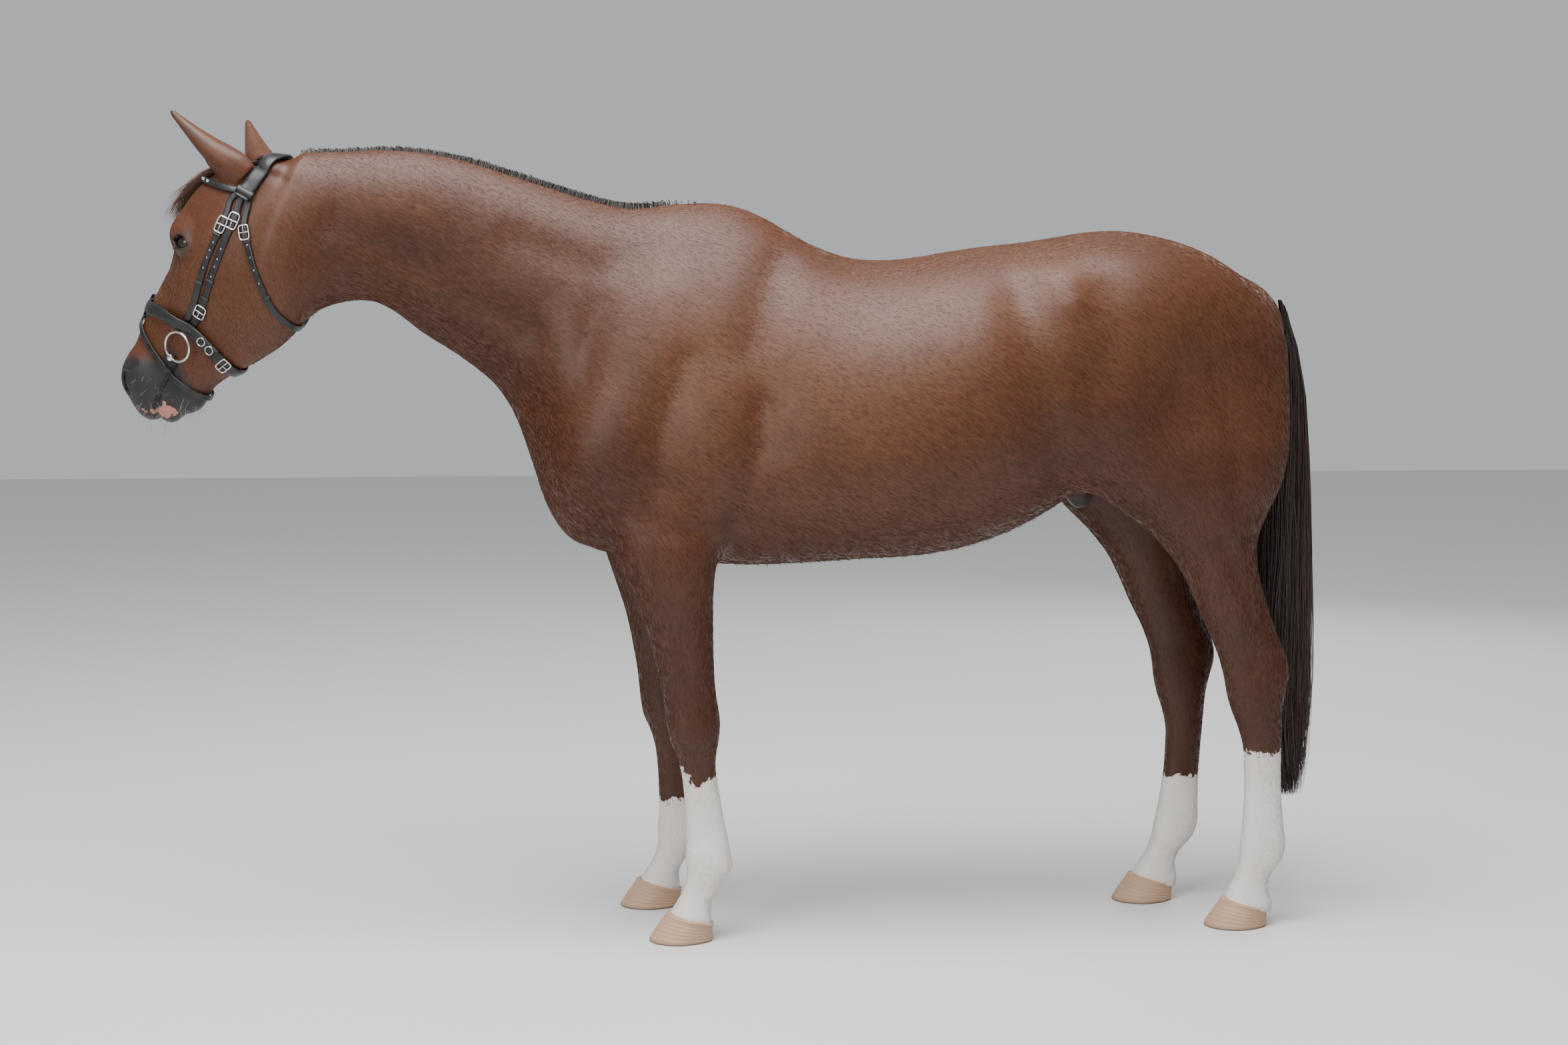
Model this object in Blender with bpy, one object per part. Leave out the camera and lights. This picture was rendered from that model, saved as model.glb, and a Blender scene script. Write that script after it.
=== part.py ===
"""A bay-chestnut riding horse standing square in a bridle, life size, as a still model.

Blender 4.5, metres, +Z up. x runs from the head, at the low values, to the tail, and the left side of the
horse is at the low values of y. The flesh is one distance field: lofts through stations along the trunk,
neck, legs and head, with muscles joined to them. Each part of the body is the field's surface inside its
own convex region, so that neighbours meet face to face at thin straight cuts.
"""

import bmesh
import bpy
import numpy as np

for old in list(bpy.data.objects):
    bpy.data.objects.remove(old, do_unlink=True)

# ---------- driving dimensions (metres) ----------
CUT_GAP = 0.0003  # between two parts that meet at a cut
MANE_GAP = 0.0095  # between the mane and the sharp, faceted crest
TAIL_GAP = 0.011
STRAP_GAP = 0.0028  # between a strap's inner face and the coat
STRAP_THICK = 0.004
HOOF_TOP_FRONT, HOOF_TOP_REAR = 0.064, 0.038  # height of the coronet at the toe and at the heel
RING_RADIUS, RING_WIRE = 0.0335, 0.003
BALL_RADIUS = 0.009


# ---------- curves ----------
def through(stations, at):
    """Value of the smooth curve that runs through the (place, value) stations, at each place of at."""
    knot, value = np.array(stations, float).T
    gap = np.diff(knot)
    slope = np.diff(value) / gap
    inner = (slope[:-1] * gap[1:] + slope[1:] * gap[:-1]) / (gap[:-1] + gap[1:])
    lean = np.concatenate([slope[:1], inner, slope[-1:]])
    at = np.clip(at, knot[0], knot[-1])
    i = np.clip(np.searchsorted(knot, at, side="right") - 1, 0, len(gap) - 1)
    t = (at - knot[i]) / gap[i]
    near, far = value[i], value[i + 1]
    out, into = lean[i] * gap[i], lean[i + 1] * gap[i]
    return near + t * (out + t * (3 * (far - near) - 2 * out - into + t * (2 * (near - far) + out + into)))


def unit(vector):
    vector = np.array(vector, float)
    return vector / np.linalg.norm(vector)


# ---------- distance fields: below zero inside, above zero outside ----------
def join(a, b, soft):
    """Union of two fields, with a fillet about as wide as soft."""
    h = np.maximum(soft - np.abs(a - b), 0.0) / soft
    return np.minimum(a, b) - h * h * soft / 4


def carve(a, b, soft):
    """Field a with b taken out of it, its rim rounded."""
    return -join(-a, b, soft)


def round_section(u, v, half, high, low, power, over, cap):
    """Distance to a rounded cross-section: half wide, high above its middle and low below it.
    A power of 2 is an ellipse, and a larger one is squarer. over is how far past the end we are."""
    rise = v > 0
    tall = np.where(rise, high, low)
    power = np.where(rise, *power)
    a, b = np.abs(u) / half + 1e-9, np.abs(v) / tall + 1e-9
    ratio = np.sqrt((a**power + b**power) ** (2 / power) + (over / cap) ** 2)
    reach = np.sqrt(u * u + v * v + over * over)
    return reach * (1 - 1 / np.maximum(ratio, 1e-3))


def loft(s, u, v, top, low, half, middle=None, centre=0.0, power=(2.2, 2.2), cap=0.05):
    """Form along s whose sections are given by stations: its top and low outline in v, its half width in u.
    cap is how far its rounded ends reach past the stations."""
    t = np.clip(s, max(top[0][0], low[0][0]), min(top[-1][0], low[-1][0]))
    high, deep = through(top, t), through(low, t)
    mid = (high + deep) / 2 if middle is None else through(middle, t)
    side = through(centre, t) if isinstance(centre, list) else centre
    power = [through(p, t) if isinstance(p, list) else p for p in power]
    if isinstance(cap, tuple):
        cap = np.where(s < t, *cap)
    over = np.abs(s - t)
    return round_section(u - side, v - mid, through(half, t), high - mid, mid - deep, power, over, cap)


def ellipsoid(p, centre, radii, along=None, side=(0, 1, 0)):
    d = p - np.array(centre, float)
    if along is not None:
        a = unit(along)
        b = unit(side - a * (a @ side))
        d = d @ np.stack([a, b, np.cross(a, b)], 1)
    one = np.linalg.norm(d / radii, axis=1)
    two = np.linalg.norm(d / np.square(radii), axis=1) + 1e-9
    return one * (one - 1) / two


def spindle(p, start, end, wide, thick):
    """Long muscle or bone between two points: thick from side to side and wide the other way."""
    a, b = np.array(start, float), np.array(end, float)
    return ellipsoid(p, (a + b) / 2, (np.linalg.norm(b - a) / 2, thick, wide), b - a)


def from_path(flat, path):
    path = np.array(path, float)
    best = np.full(len(flat), 9.0)
    for a, b in zip(path[:-1], path[1:]):
        t = np.clip((flat - a) @ (b - a) / ((b - a) @ (b - a)), 0, 1)
        best = np.minimum(best, np.linalg.norm(flat - a - t[:, None] * (b - a), axis=1))
    return best


# ---------- trunk ----------
# Stations (x, value). x runs from the chest, at the low values, to the buttocks.
TRUNK_TOP = [
    (-0.45, 1.38), (-0.36, 1.50), (-0.28, 1.585), (-0.20, 1.622), (-0.14, 1.632), (-0.07, 1.619),
    (0.0, 1.588), (0.07, 1.553), (0.14, 1.529), (0.20, 1.522), (0.28, 1.526), (0.36, 1.539), (0.45, 1.552),
    (0.54, 1.562), (0.62, 1.574), (0.70, 1.586), (0.76, 1.588), (0.84, 1.576), (0.92, 1.552), (1.0, 1.510),
    (1.06, 1.455),
]
TRUNK_LOW = [
    (-0.45, 0.90), (-0.36, 0.865), (-0.26, 0.845), (-0.165, 0.832), (-0.07, 0.828), (0.04, 0.832),
    (0.18, 0.840), (0.31, 0.848), (0.415, 0.867), (0.524, 0.906), (0.61, 0.952), (0.70, 1.01), (0.80, 1.06),
    (0.95, 1.09), (1.06, 1.15),
]
TRUNK_HALF = [
    (-0.45, 0.16), (-0.36, 0.20), (-0.26, 0.225), (-0.15, 0.245), (-0.05, 0.262), (0.05, 0.284),
    (0.15, 0.300), (0.28, 0.312), (0.42, 0.308), (0.55, 0.287), (0.66, 0.262), (0.76, 0.248), (0.86, 0.235),
    (0.96, 0.205), (1.06, 0.12),
]
TRUNK_MIDDLE = [
    (-0.45, 1.12), (-0.2, 1.10), (0.0, 1.09), (0.28, 1.11), (0.5, 1.19), (0.7, 1.27), (1.06, 1.30),
]
TRUNK_POWER = [(-0.45, 1.8), (-0.15, 1.6), (0.05, 1.75), (0.25, 1.95), (0.6, 2.0), (1.06, 2.0)]


def trunk(p):
    return loft(
        p[:, 0], p[:, 1], p[:, 2], TRUNK_TOP, TRUNK_LOW, TRUNK_HALF, TRUNK_MIDDLE,
        power=(TRUNK_POWER, 2.15), cap=0.09,
    )


# ---------- neck ----------
NECK_CREST = [
    (-1.20, 1.735), (-1.13, 1.752), (-1.06, 1.757), (-0.98, 1.760),
    (-0.90, 1.764), (-0.82, 1.760), (-0.72, 1.742),
    (-0.62, 1.712), (-0.52, 1.680), (-0.42, 1.650), (-0.32, 1.628),
    (-0.22, 1.598), (-0.10, 1.545), (0.02, 1.47),
]
NECK_THROAT = [
    (-1.18, 1.43), (-1.08, 1.412), (-1.02, 1.418), (-0.967, 1.427),
    (-0.918, 1.424), (-0.88, 1.406), (-0.811, 1.354),
    (-0.742, 1.310), (-0.672, 1.257), (-0.62, 1.205), (-0.583, 1.155),
    (-0.550, 1.09), (-0.524, 1.02), (-0.48, 0.96),
    (-0.40, 0.93),
]
NECK_START, NECK_END = np.array((-1.10, 0, 1.60)), np.array((-0.163, 0, 1.249))
NECK_ALONG = unit(NECK_END - NECK_START)
NECK_UP = np.array((-NECK_ALONG[2], 0, NECK_ALONG[0]))
NECK_HALF = [
    (-0.1, 0.078), (0.1, 0.082), (0.25, 0.086), (0.4, 0.096), (0.55, 0.118), (0.7, 0.142),
    (0.85, 0.150), (1.0, 0.11),
]
NECK_CENTRE = [(-0.1, -0.004), (0.1, -0.008), (0.3, -0.004), (0.6, 0.0), (1.0, 0.0)]


def along_neck(outline):
    """The (x, z) outline as stations along the neck."""
    place = np.array([(x, 0, z) for x, z in outline]) - NECK_START
    return list(zip(place @ NECK_ALONG, place @ NECK_UP))


def neck(p):
    w = p - NECK_START
    crest, throat = along_neck(NECK_CREST), along_neck(NECK_THROAT)
    return loft(
        w @ NECK_ALONG, p[:, 1], w @ NECK_UP, crest, throat, NECK_HALF,
        centre=NECK_CENTRE, power=(1.75, 2.2), cap=(0.04, 0.22),
    )


# ---------- legs, from the body down to the coronet ----------
# Each row: height, x of the front outline, x of the rear outline, half width, distance from the middle plane.
FORE = [
    (1.02, -0.44, -0.10, 0.07, 0.15), (0.93, -0.405, -0.135, 0.08, 0.165),
    (0.86, -0.385, -0.160, 0.082, 0.170),
    (0.78, -0.353, -0.170, 0.075, 0.172), (0.70, -0.323, -0.171, 0.064, 0.172),
    (0.62, -0.301, -0.170, 0.055, 0.172),
    (0.56, -0.288, -0.166, 0.050, 0.171), (0.52, -0.282, -0.160, 0.052, 0.170),
    (0.49, -0.278, -0.157, 0.055, 0.170),
    (0.455, -0.271, -0.160, 0.054, 0.169), (0.42, -0.256, -0.166, 0.044, 0.168),
    (0.39, -0.247, -0.167, 0.036, 0.167),
    (0.34, -0.240, -0.160, 0.031, 0.166), (0.28, -0.236, -0.150, 0.030, 0.165),
    (0.23, -0.234, -0.140, 0.034, 0.165),
    (0.195, -0.236, -0.134, 0.040, 0.165), (0.165, -0.234, -0.130, 0.039, 0.165),
    (0.14, -0.234, -0.145, 0.035, 0.165),
    (0.11, -0.243, -0.165, 0.032, 0.165), (0.085, -0.257, -0.178, 0.036, 0.165),
    (0.055, -0.276, -0.177, 0.046, 0.165),
]
HIND = [
    (1.30, 0.72, 1.10, 0.07, 0.12), (1.16, 0.70, 1.122, 0.10, 0.14), (1.09, 0.70, 1.122, 0.115, 0.15),
    (1.02, 0.71, 1.108, 0.115, 0.155), (0.95, 0.765, 1.078, 0.105, 0.155), (0.89, 0.83, 1.06, 0.09, 0.155),
    (0.83, 0.88, 1.062, 0.078, 0.152), (0.77, 0.912, 1.078, 0.066, 0.150),
    (0.71, 0.938, 1.098, 0.056, 0.148),
    (0.66, 0.962, 1.118, 0.048, 0.146), (0.62, 0.978, 1.136, 0.044, 0.145),
    (0.58, 0.990, 1.142, 0.045, 0.144),
    (0.54, 0.998, 1.135, 0.046, 0.143), (0.50, 1.010, 1.129, 0.043, 0.142),
    (0.46, 1.026, 1.128, 0.038, 0.141),
    (0.42, 1.038, 1.128, 0.034, 0.140), (0.36, 1.043, 1.128, 0.031, 0.139),
    (0.29, 1.044, 1.131, 0.030, 0.138),
    (0.23, 1.041, 1.137, 0.036, 0.137), (0.18, 1.037, 1.141, 0.039, 0.136),
    (0.155, 1.036, 1.135, 0.038, 0.136),
    (0.12, 1.028, 1.110, 0.033, 0.136), (0.09, 1.014, 1.102, 0.035, 0.136),
    (0.055, 0.998, 1.112, 0.045, 0.136),
]
# How far the right leg stands ahead of the left one, as (height, x).
STRIDE_FORE = [
    (0, -0.055), (0.06, -0.055), (0.2, -0.048), (0.35, -0.045), (0.5, -0.045), (0.7, -0.035),
    (0.85, -0.025), (1.0, 0),
]
STRIDE_HIND = [
    (0, -0.165), (0.15, -0.143), (0.3, -0.125), (0.5, -0.108), (0.6, -0.10), (0.8, -0.10),
    (0.95, -0.09), (1.1, -0.05), (1.3, 0),
]
LEVEL = [(0, 0), (2, 0)]


def leg(p, rows, side, stride, out=0.0):
    """side is -1 for the left leg and +1 for the right one."""
    z = p[:, 2]
    height, front, rear, half, apart = np.array(rows)[::-1].T
    stations = [list(zip(height, column)) for column in (rear, front, half)]
    x = p[:, 0] - through(stride, z)
    middle = list(zip(height, apart))
    return loft(z, p[:, 1] * side - out, x, *stations, centre=middle, power=(2.2, 2.3), cap=0.13)


# ---------- head ----------
# Head coordinates: s down the face from the eyes, y to the horse's left, d out of the face.
HEAD_TURN, HEAD_TILT = np.radians(25), np.radians(24.5)
HEAD_AHEAD = np.array((-np.cos(HEAD_TURN), np.sin(HEAD_TURN), 0))
HEAD_DOWN = np.sin(HEAD_TILT) * HEAD_AHEAD - np.cos(HEAD_TILT) * np.array((0, 0, 1))
HEAD_LEFT = np.array((-np.sin(HEAD_TURN), -np.cos(HEAD_TURN), 0))
HEAD_OUT = np.cos(HEAD_TILT) * HEAD_AHEAD + np.sin(HEAD_TILT) * np.array((0, 0, 1))
HEAD_AXES = np.stack([HEAD_DOWN, HEAD_LEFT, HEAD_OUT])
HEAD_ORIGIN = np.array((-1.3005, 0.070, 1.557))


def in_head(p):
    return (p - HEAD_ORIGIN) @ HEAD_AXES.T


def from_head(q):
    return HEAD_ORIGIN + np.atleast_2d(q) @ HEAD_AXES


FACE = [
    (-0.222, -0.075), (-0.205, -0.038), (-0.175, -0.002), (-0.13, 0.028),
    (-0.09, 0.045), (-0.045, 0.055), (0, 0.053),
    (0.05, 0.046), (0.10, 0.046), (0.15, 0.052), (0.20, 0.060),
    (0.25, 0.065), (0.30, 0.062), (0.33, 0.054), (0.35, 0.044),
]
FACE_BACK = [
    (-0.222, -0.14), (-0.2, -0.155), (-0.1, -0.18), (0, -0.18), (0.1, -0.15), (0.2, -0.12),
    (0.3, -0.09), (0.35, -0.075),
]
FACE_HALF = [
    (-0.222, 0.045), (-0.2, 0.060), (-0.15, 0.078), (-0.1, 0.087),
    (-0.05, 0.091), (0, 0.088), (0.05, 0.078),
    (0.1, 0.068), (0.15, 0.060), (0.2, 0.053), (0.25, 0.048), (0.3, 0.047), (0.35, 0.044),
]
FACE_MIDDLE = [
    (-0.222, -0.105), (-0.2, -0.09), (-0.1, -0.05), (0, -0.035), (0.1, -0.035), (0.2, -0.03),
    (0.35, -0.02),
]
JAW = [
    (-0.12, -0.17), (-0.09, -0.215), (-0.05, -0.252), (-0.01, -0.278),
    (0.03, -0.290), (0.07, -0.290), (0.11, -0.277),
    (0.15, -0.255), (0.20, -0.217), (0.24, -0.182), (0.28, -0.154), (0.31, -0.140),
]
JAW_ROOT = [(-0.12, -0.05), (0.31, -0.05)]
JAW_HALF = [
    (-0.12, 0.045), (-0.05, 0.053), (0.0, 0.058), (0.06, 0.060), (0.12, 0.055), (0.2, 0.044),
    (0.31, 0.032),
]
MOUTH = [(0.268, -0.064), (0.30, -0.055), (0.34, -0.049), (0.38, -0.048), (0.43, -0.055)]
# Muscles and bones of the head that show: start and end in (s, y, d), width, thickness, fillet.
HEAD_SPINDLES = [
    ((-0.13, 0.071, -0.070), (0.11, 0.066, -0.046), 0.032, 0.026, 0.05),  # cheek arch
    ((-0.02, 0.074, -0.045), (0.150, 0.050, -0.038), 0.017, 0.017, 0.04),  # facial crest
    ((-0.16, 0.050, -0.02), (-0.04, 0.072, 0.015), 0.020, 0.018, 0.05),  # rim of the temple
    ((0.08, 0.0, 0.040), (0.34, 0.0, 0.030), 0.020, 0.024, 0.03),  # nose bone
]
# Rounded masses: centre, radii, fillet.
HEAD_MASSES = [
    ((0.005, 0.042, -0.160), (0.125, 0.042, 0.112), 0.06),  # cheek muscle
    ((-0.016, 0.074, 0.008), (0.036, 0.030, 0.032), 0.03),  # brow
    ((0.354, 0, 0.000), (0.060, 0.044, 0.053), 0.04),  # nose
    ((0.382, 0, -0.024), (0.044, 0.042, 0.038), 0.02),  # upper lip
    ((0.325, 0.030, 0.030), (0.052, 0.026, 0.034), 0.025),  # nostril wing
    ((0.324, 0, -0.100), (0.040, 0.034, 0.033), 0.03),  # chin
    ((0.370, 0, -0.074), (0.040, 0.034, 0.028), 0.02),  # lower lip
]
EYE_RADIUS = 0.0235
EYE_PLACE = (-0.004, 0.0822, -0.0112)
EYE_LOOK = unit((0.05, 0.93, 0.36))
EYE_LONG = unit(np.array((0.10, -0.36, 0.93)) - EYE_LOOK * (EYE_LOOK @ (0.10, -0.36, 0.93)))
EYE_HIGH = np.cross(EYE_LONG, EYE_LOOK)
LID_THICK = 0.0042
LID_HALF_LONG, LID_HALF_HIGH = 0.0212, 0.0132
NOSTRIL = [(0.309, 0.060, 0.030), (0.330, 0.052, 0.046), (0.356, 0.041, 0.040), (0.372, 0.036, 0.026)]
NOSTRIL_WIDE = 0.0085


def from_route(p, route):
    route = np.array(route, float)
    best = np.full(len(p), 9.0)
    for a, b in zip(route[:-1], route[1:]):
        t = np.clip((p - a) @ (b - a) / ((b - a) @ (b - a)), 0, 1)
        best = np.minimum(best, np.linalg.norm(p - a - t[:, None] * (b - a), axis=1))
    return best


def skull(q):
    """The head without its openings. q is in head coordinates."""
    s, y, d = q.T
    m = np.stack([s, np.abs(y), d], 1)
    f = loft(s, y, d, FACE, FACE_BACK, FACE_HALF, FACE_MIDDLE, power=(2.35, 2.3), cap=0.03)
    f = join(f, loft(s, y, d, JAW_ROOT, JAW, JAW_HALF, power=(2.2, 2.1), cap=0.06), 0.04)
    for start, end, wide, thick, soft in HEAD_SPINDLES:
        f = join(f, spindle(m, start, end, wide, thick), soft)
    for centre, radii, soft in HEAD_MASSES:
        f = join(f, ellipsoid(m, centre, radii), soft)
    return f


def eye_opening(m):
    """Almond between the lids, as a prism along the way the eye looks."""
    w = m - EYE_PLACE
    along, up, out = w @ EYE_LONG, w @ EYE_HIGH, w @ EYE_LOOK
    edge = LID_HALF_HIGH * (1 - np.minimum((along / LID_HALF_LONG) ** 2, 4.0))
    low = np.where(up < 0, 0.85, 1.0)
    return np.maximum(np.abs(up) / low - edge, 0.010 - out) * 0.6


def head(p, socket=True):
    """The head; socket=False leaves the hollow for the eyeball to a later cut."""
    q = in_head(p)
    m = np.stack([q[:, 0], np.abs(q[:, 1]), q[:, 2]], 1)
    f = skull(q)
    f = f + 0.007 * np.exp(-((from_path(q[:, [0, 2]], MOUTH) / 0.0055) ** 2))
    ball = np.linalg.norm(m - EYE_PLACE, axis=1) - EYE_RADIUS
    f = join(f, ball - LID_THICK, 0.012)
    f = carve(f, eye_opening(m), 0.003)
    if socket:
        f = carve(f, ball - 0.0003, 0.001)
    return carve(f, from_route(m, NOSTRIL) - NOSTRIL_WIDE, 0.008)


# ---------- ears ----------
EAR_LONG = 0.187
EAR_WIDE = [
    (-0.03, 0.026), (0, 0.032), (0.03, 0.034), (0.06, 0.031), (0.09, 0.026), (0.12, 0.020), (0.15, 0.014),
    (0.175, 0.009), (0.19, 0.007),
]
EAR_DEEP = [
    (-0.03, 0.036), (0, 0.040), (0.03, 0.036), (0.06, 0.029), (0.09, 0.023), (0.12, 0.017), (0.15, 0.012),
    (0.175, 0.0085), (0.19, 0.0065),
]
# base, tip and the way the hollow faces, in head coordinates
EARS = {
    "left": ((-0.198, 0.060, -0.040), (-0.256, 0.100, 0.131), (0.93, -0.10, 0.33)),
    "right": ((-0.198, -0.062, -0.042), (-0.262, -0.160, 0.096), (0.60, -0.65, 0.45)),
}


def ear_frame(name):
    base, tip, look = (np.array(v, float) for v in EARS[name])
    along = unit(tip - base)
    face = unit(look - along * (along @ look))
    return base, along, face, np.cross(along, face)


def ear(p, name, wall=0.0035, floor=0.03):
    """Rolled leaf: its hollow starts at the floor and closes again before the tip."""
    base, along, face, across = ear_frame(name)
    w = in_head(p) - base
    s, u = w @ along, w @ across
    t = np.clip(s, EAR_WIDE[0][0], EAR_LONG)
    v = w @ face - 0.003 * np.sin(np.pi * np.clip(s / EAR_LONG, 0, 1))
    half, deep, over = through(EAR_WIDE, t), through(EAR_DEEP, t), np.abs(s - t)
    f = round_section(u, v, half, deep, deep, (2.0, 2.0), over, 0.007)
    closed = 0.04 * (np.clip((floor - s) / 0.03, 0, 1) + np.clip((s - 0.155) / 0.02, 0, 1))
    wall = np.minimum(wall, half * 0.45)
    low = deep * 1.5 - wall
    hole = round_section(u, v - 0.5 * deep, half - wall, deep * 1.2, low, (2.0, 2.0), over, 0.01)
    return carve(f, hole + closed, 0.003)


# ---------- muscles over the trunk ----------
# start, end, width, thickness, fillet
MUSCLES = [
    ((-0.44, 0.145, 1.03), (-0.12, 0.060, 1.43), 0.125, 0.066, 0.10),  # shoulder blade
    ((-0.11, 0.155, 1.30), (-0.20, 0.175, 0.95), 0.10, 0.078, 0.06),  # triceps
    ((0.55, 0.13, 1.43), (1.07, 0.085, 1.36), 0.135, 0.120, 0.10),  # rump
    ((0.64, 0.14, 1.40), (0.80, 0.165, 0.97), 0.13, 0.105, 0.09),  # thigh, front
    ((1.00, 0.095, 1.44), (0.985, 0.145, 0.93), 0.130, 0.103, 0.09),  # thigh, rear
]
BREAST = [
    ((-0.395, 0.135, 1.085), (0.108, 0.090, 0.130), 0.08),  # point of the shoulder
    ((-0.402, 0.072, 0.990), (0.090, 0.078, 0.105), 0.06),  # breast muscle
]
DOCK = ((1.00, 0, 1.47), (1.135, 0, 1.36), 0.040, 0.040, 0.06)
SHEATH = ((0.683, 0, 0.995), (0.036, 0.032, 0.047), 0.020)
# Ridges (+) and furrows (-) of the coat over muscle and bone: path in (x, z), width, height.
RELIEF = [
    ([(-0.42, 1.42), (-0.46, 1.30), (-0.50, 1.12)], 0.035, -0.005),  # before the shoulder blade
    ([(-0.03, 1.50), (-0.10, 1.30), (-0.05, 1.12)], 0.050, -0.009),  # behind the shoulder blade
    ([(-0.24, 1.30), (-0.30, 1.14), (-0.31, 1.02)], 0.030, -0.006),  # between arm and triceps
    ([(-0.07, 1.20), (-0.10, 1.05), (-0.13, 0.95)], 0.030, -0.009),  # behind the triceps
    ([(-0.36, 0.98), (-0.28, 0.93), (-0.20, 0.92)], 0.024, -0.006),  # elbow fold
    ([(-1.00, 1.60), (-0.86, 1.53), (-0.72, 1.44), (-0.58, 1.36)], 0.045, -0.010),  # along the neck
    # jugular groove
    ([(-0.96, 1.470), (-0.88, 1.450), (-0.78, 1.39), (-0.66, 1.30), (-0.56, 1.20)], 0.020, -0.007),
    ([(-0.60, 1.56), (-0.42, 1.50), (-0.28, 1.54)], 0.050, -0.008),  # before the withers
    ([(0.69, 1.44), (0.70, 1.36), (0.67, 1.26)], 0.050, -0.008),  # behind the point of the hip
    ([(0.50, 1.42), (0.52, 1.28), (0.55, 1.14)], 0.060, -0.011),  # hollow of the flank
    ([(0.60, 1.47), (0.61, 1.43)], 0.040, 0.008),  # point of the hip
    ([(0.60, 1.20), (0.64, 1.10), (0.66, 1.03)], 0.030, 0.006),  # flank fold
    ([(0.94, 1.28), (0.98, 1.14), (0.985, 0.98)], 0.030, -0.006),  # furrow in the rear of the thigh
    ([(0.80, 1.00), (0.88, 0.90), (0.95, 0.80)], 0.025, 0.004),  # front of the gaskin
    ([(0.96, 0.90), (1.01, 0.80), (1.05, 0.70)], 0.018, -0.005),  # furrow before the hamstring
    ([(-0.30, 0.86), (-0.26, 0.72), (-0.235, 0.60)], 0.018, -0.004),  # between the forearm's muscles
    ([(-0.12, 0.96), (0.05, 0.90), (0.30, 0.905)], 0.022, -0.004),  # girth line
]


def legs(p):
    f = leg(p, FORE, -1, LEVEL)
    f = np.minimum(f, leg(p, FORE, 1, STRIDE_FORE, 0.015))
    f = np.minimum(f, leg(p, HIND, -1, LEVEL))
    return np.minimum(f, leg(p, HIND, 1, STRIDE_HIND))


def body(p, socket=True):
    """All of the horse but its hooves, eyes, ears and hair."""
    m = np.stack([p[:, 0], np.abs(p[:, 1]), p[:, 2]], 1)
    f = join(trunk(p), neck(p), 0.16)
    for centre, radii, soft in BREAST:
        f = join(f, ellipsoid(m, centre, radii), soft)
    for start, end, wide, thick, soft in MUSCLES:
        f = join(f, spindle(m, start, end, wide, thick), soft)
    start, end, wide, thick, soft = DOCK
    f = join(f, spindle(p, start, end, wide, thick), soft)
    centre, radii, soft = SHEATH
    f = join(f, ellipsoid(p, centre, radii), soft)
    f = join(f, legs(p), 0.06)
    flank = np.clip(m[:, 1] / 0.05, 0, 1)
    for path, wide, high in RELIEF:
        f = f - flank * high * np.exp(-((from_path(p[:, [0, 2]], path) / wide) ** 2))
    return join(f, head(p, socket), 0.06)


# ---------- from a field to a mesh ----------
def surface(field, low, high, step, coarse=4):
    """Vertices and triangles of the field's zero surface. The field is read on a coarse grid, and on the fine
    one only near the surface. Each fine cube is split into six tetrahedra around its diagonal."""
    low = np.array(low, float)
    count = np.ceil((np.array(high) - low) / step / coarse).astype(int) * coarse + 1
    axes = [low[i] + step * np.arange(0, count[i], coarse) for i in range(3)]
    rough = field(np.stack(np.meshgrid(*axes, indexing="ij"), -1).reshape(-1, 3))
    rough = rough.reshape([len(a) for a in axes])
    corners = [(i, j, k) for i in (0, 1) for j in (0, 1) for k in (0, 1)]
    near = np.zeros([n - 1 for n in rough.shape], bool)
    for i, j, k in corners:
        corner = rough[i : i + near.shape[0], j : j + near.shape[1], k : k + near.shape[2]]
        near |= np.abs(corner) < step * coarse * 1.8
    block = np.ones((coarse,) * 3)
    near, value = np.kron(near, block) > 0, np.kron(rough, block)[: count[0], : count[1], : count[2]]
    fine = np.zeros(count, bool)
    for i, j, k in corners:
        fine[i : i + near.shape[0], j : j + near.shape[1], k : k + near.shape[2]] |= near
    index = np.argwhere(fine)
    value[tuple(index.T)] = field(low + step * index)
    inside = value < 0
    filled = sum(
        inside[i : count[0] - 1 + i, j : count[1] - 1 + j, k : count[2] - 1 + k].astype(int)
        for i, j, k in corners
    )
    cubes = np.argwhere((filled > 0) & (filled < 8))
    weight = np.array((count[1] * count[2], count[2], 1))
    value = value.ravel()
    triangles = []
    for order in ((0, 1, 2), (1, 2, 0), (2, 0, 1), (0, 2, 1), (2, 1, 0), (1, 0, 2)):
        steps = np.cumsum(np.eye(3, dtype=int)[[*order]], axis=0)
        tets = np.stack([cubes @ weight] + [(cubes + s) @ weight for s in steps], 1)
        tets = np.take_along_axis(tets, np.argsort(value[tets], axis=1), 1)
        within = (value[tets] < 0).sum(1)
        one, two, three = (tets[within == n].T for n in (1, 2, 3))
        for a, b, c, d in (one, three[::-1]):
            triangles.append(np.stack([a, b, a, c, a, d], 1))
        a, b, c, d = two
        triangles += [np.stack([a, c, a, d, b, c], 1), np.stack([a, d, b, d, b, c], 1)]
    ends = np.sort(np.concatenate(triangles).reshape(-1, 2), axis=1)
    ends, corner = np.unique(ends, axis=0, return_inverse=True)
    first, last = (np.stack(np.unravel_index(end, count), 1) for end in ends.T)
    near, far = value[ends.T]
    t = np.clip(near / (near - far), 0.08, 0.92)[:, None]
    return low + step * (first + t * (last - first)), corner.reshape(-1, 3)


def slope_of(field, p, reach=5e-4):
    corners = np.array([(1, -1, -1), (-1, -1, 1), (-1, 1, -1), (1, 1, 1)], float)
    return sum(k * field(p + reach * k)[:, None] for k in corners) / (4 * reach)


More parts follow.
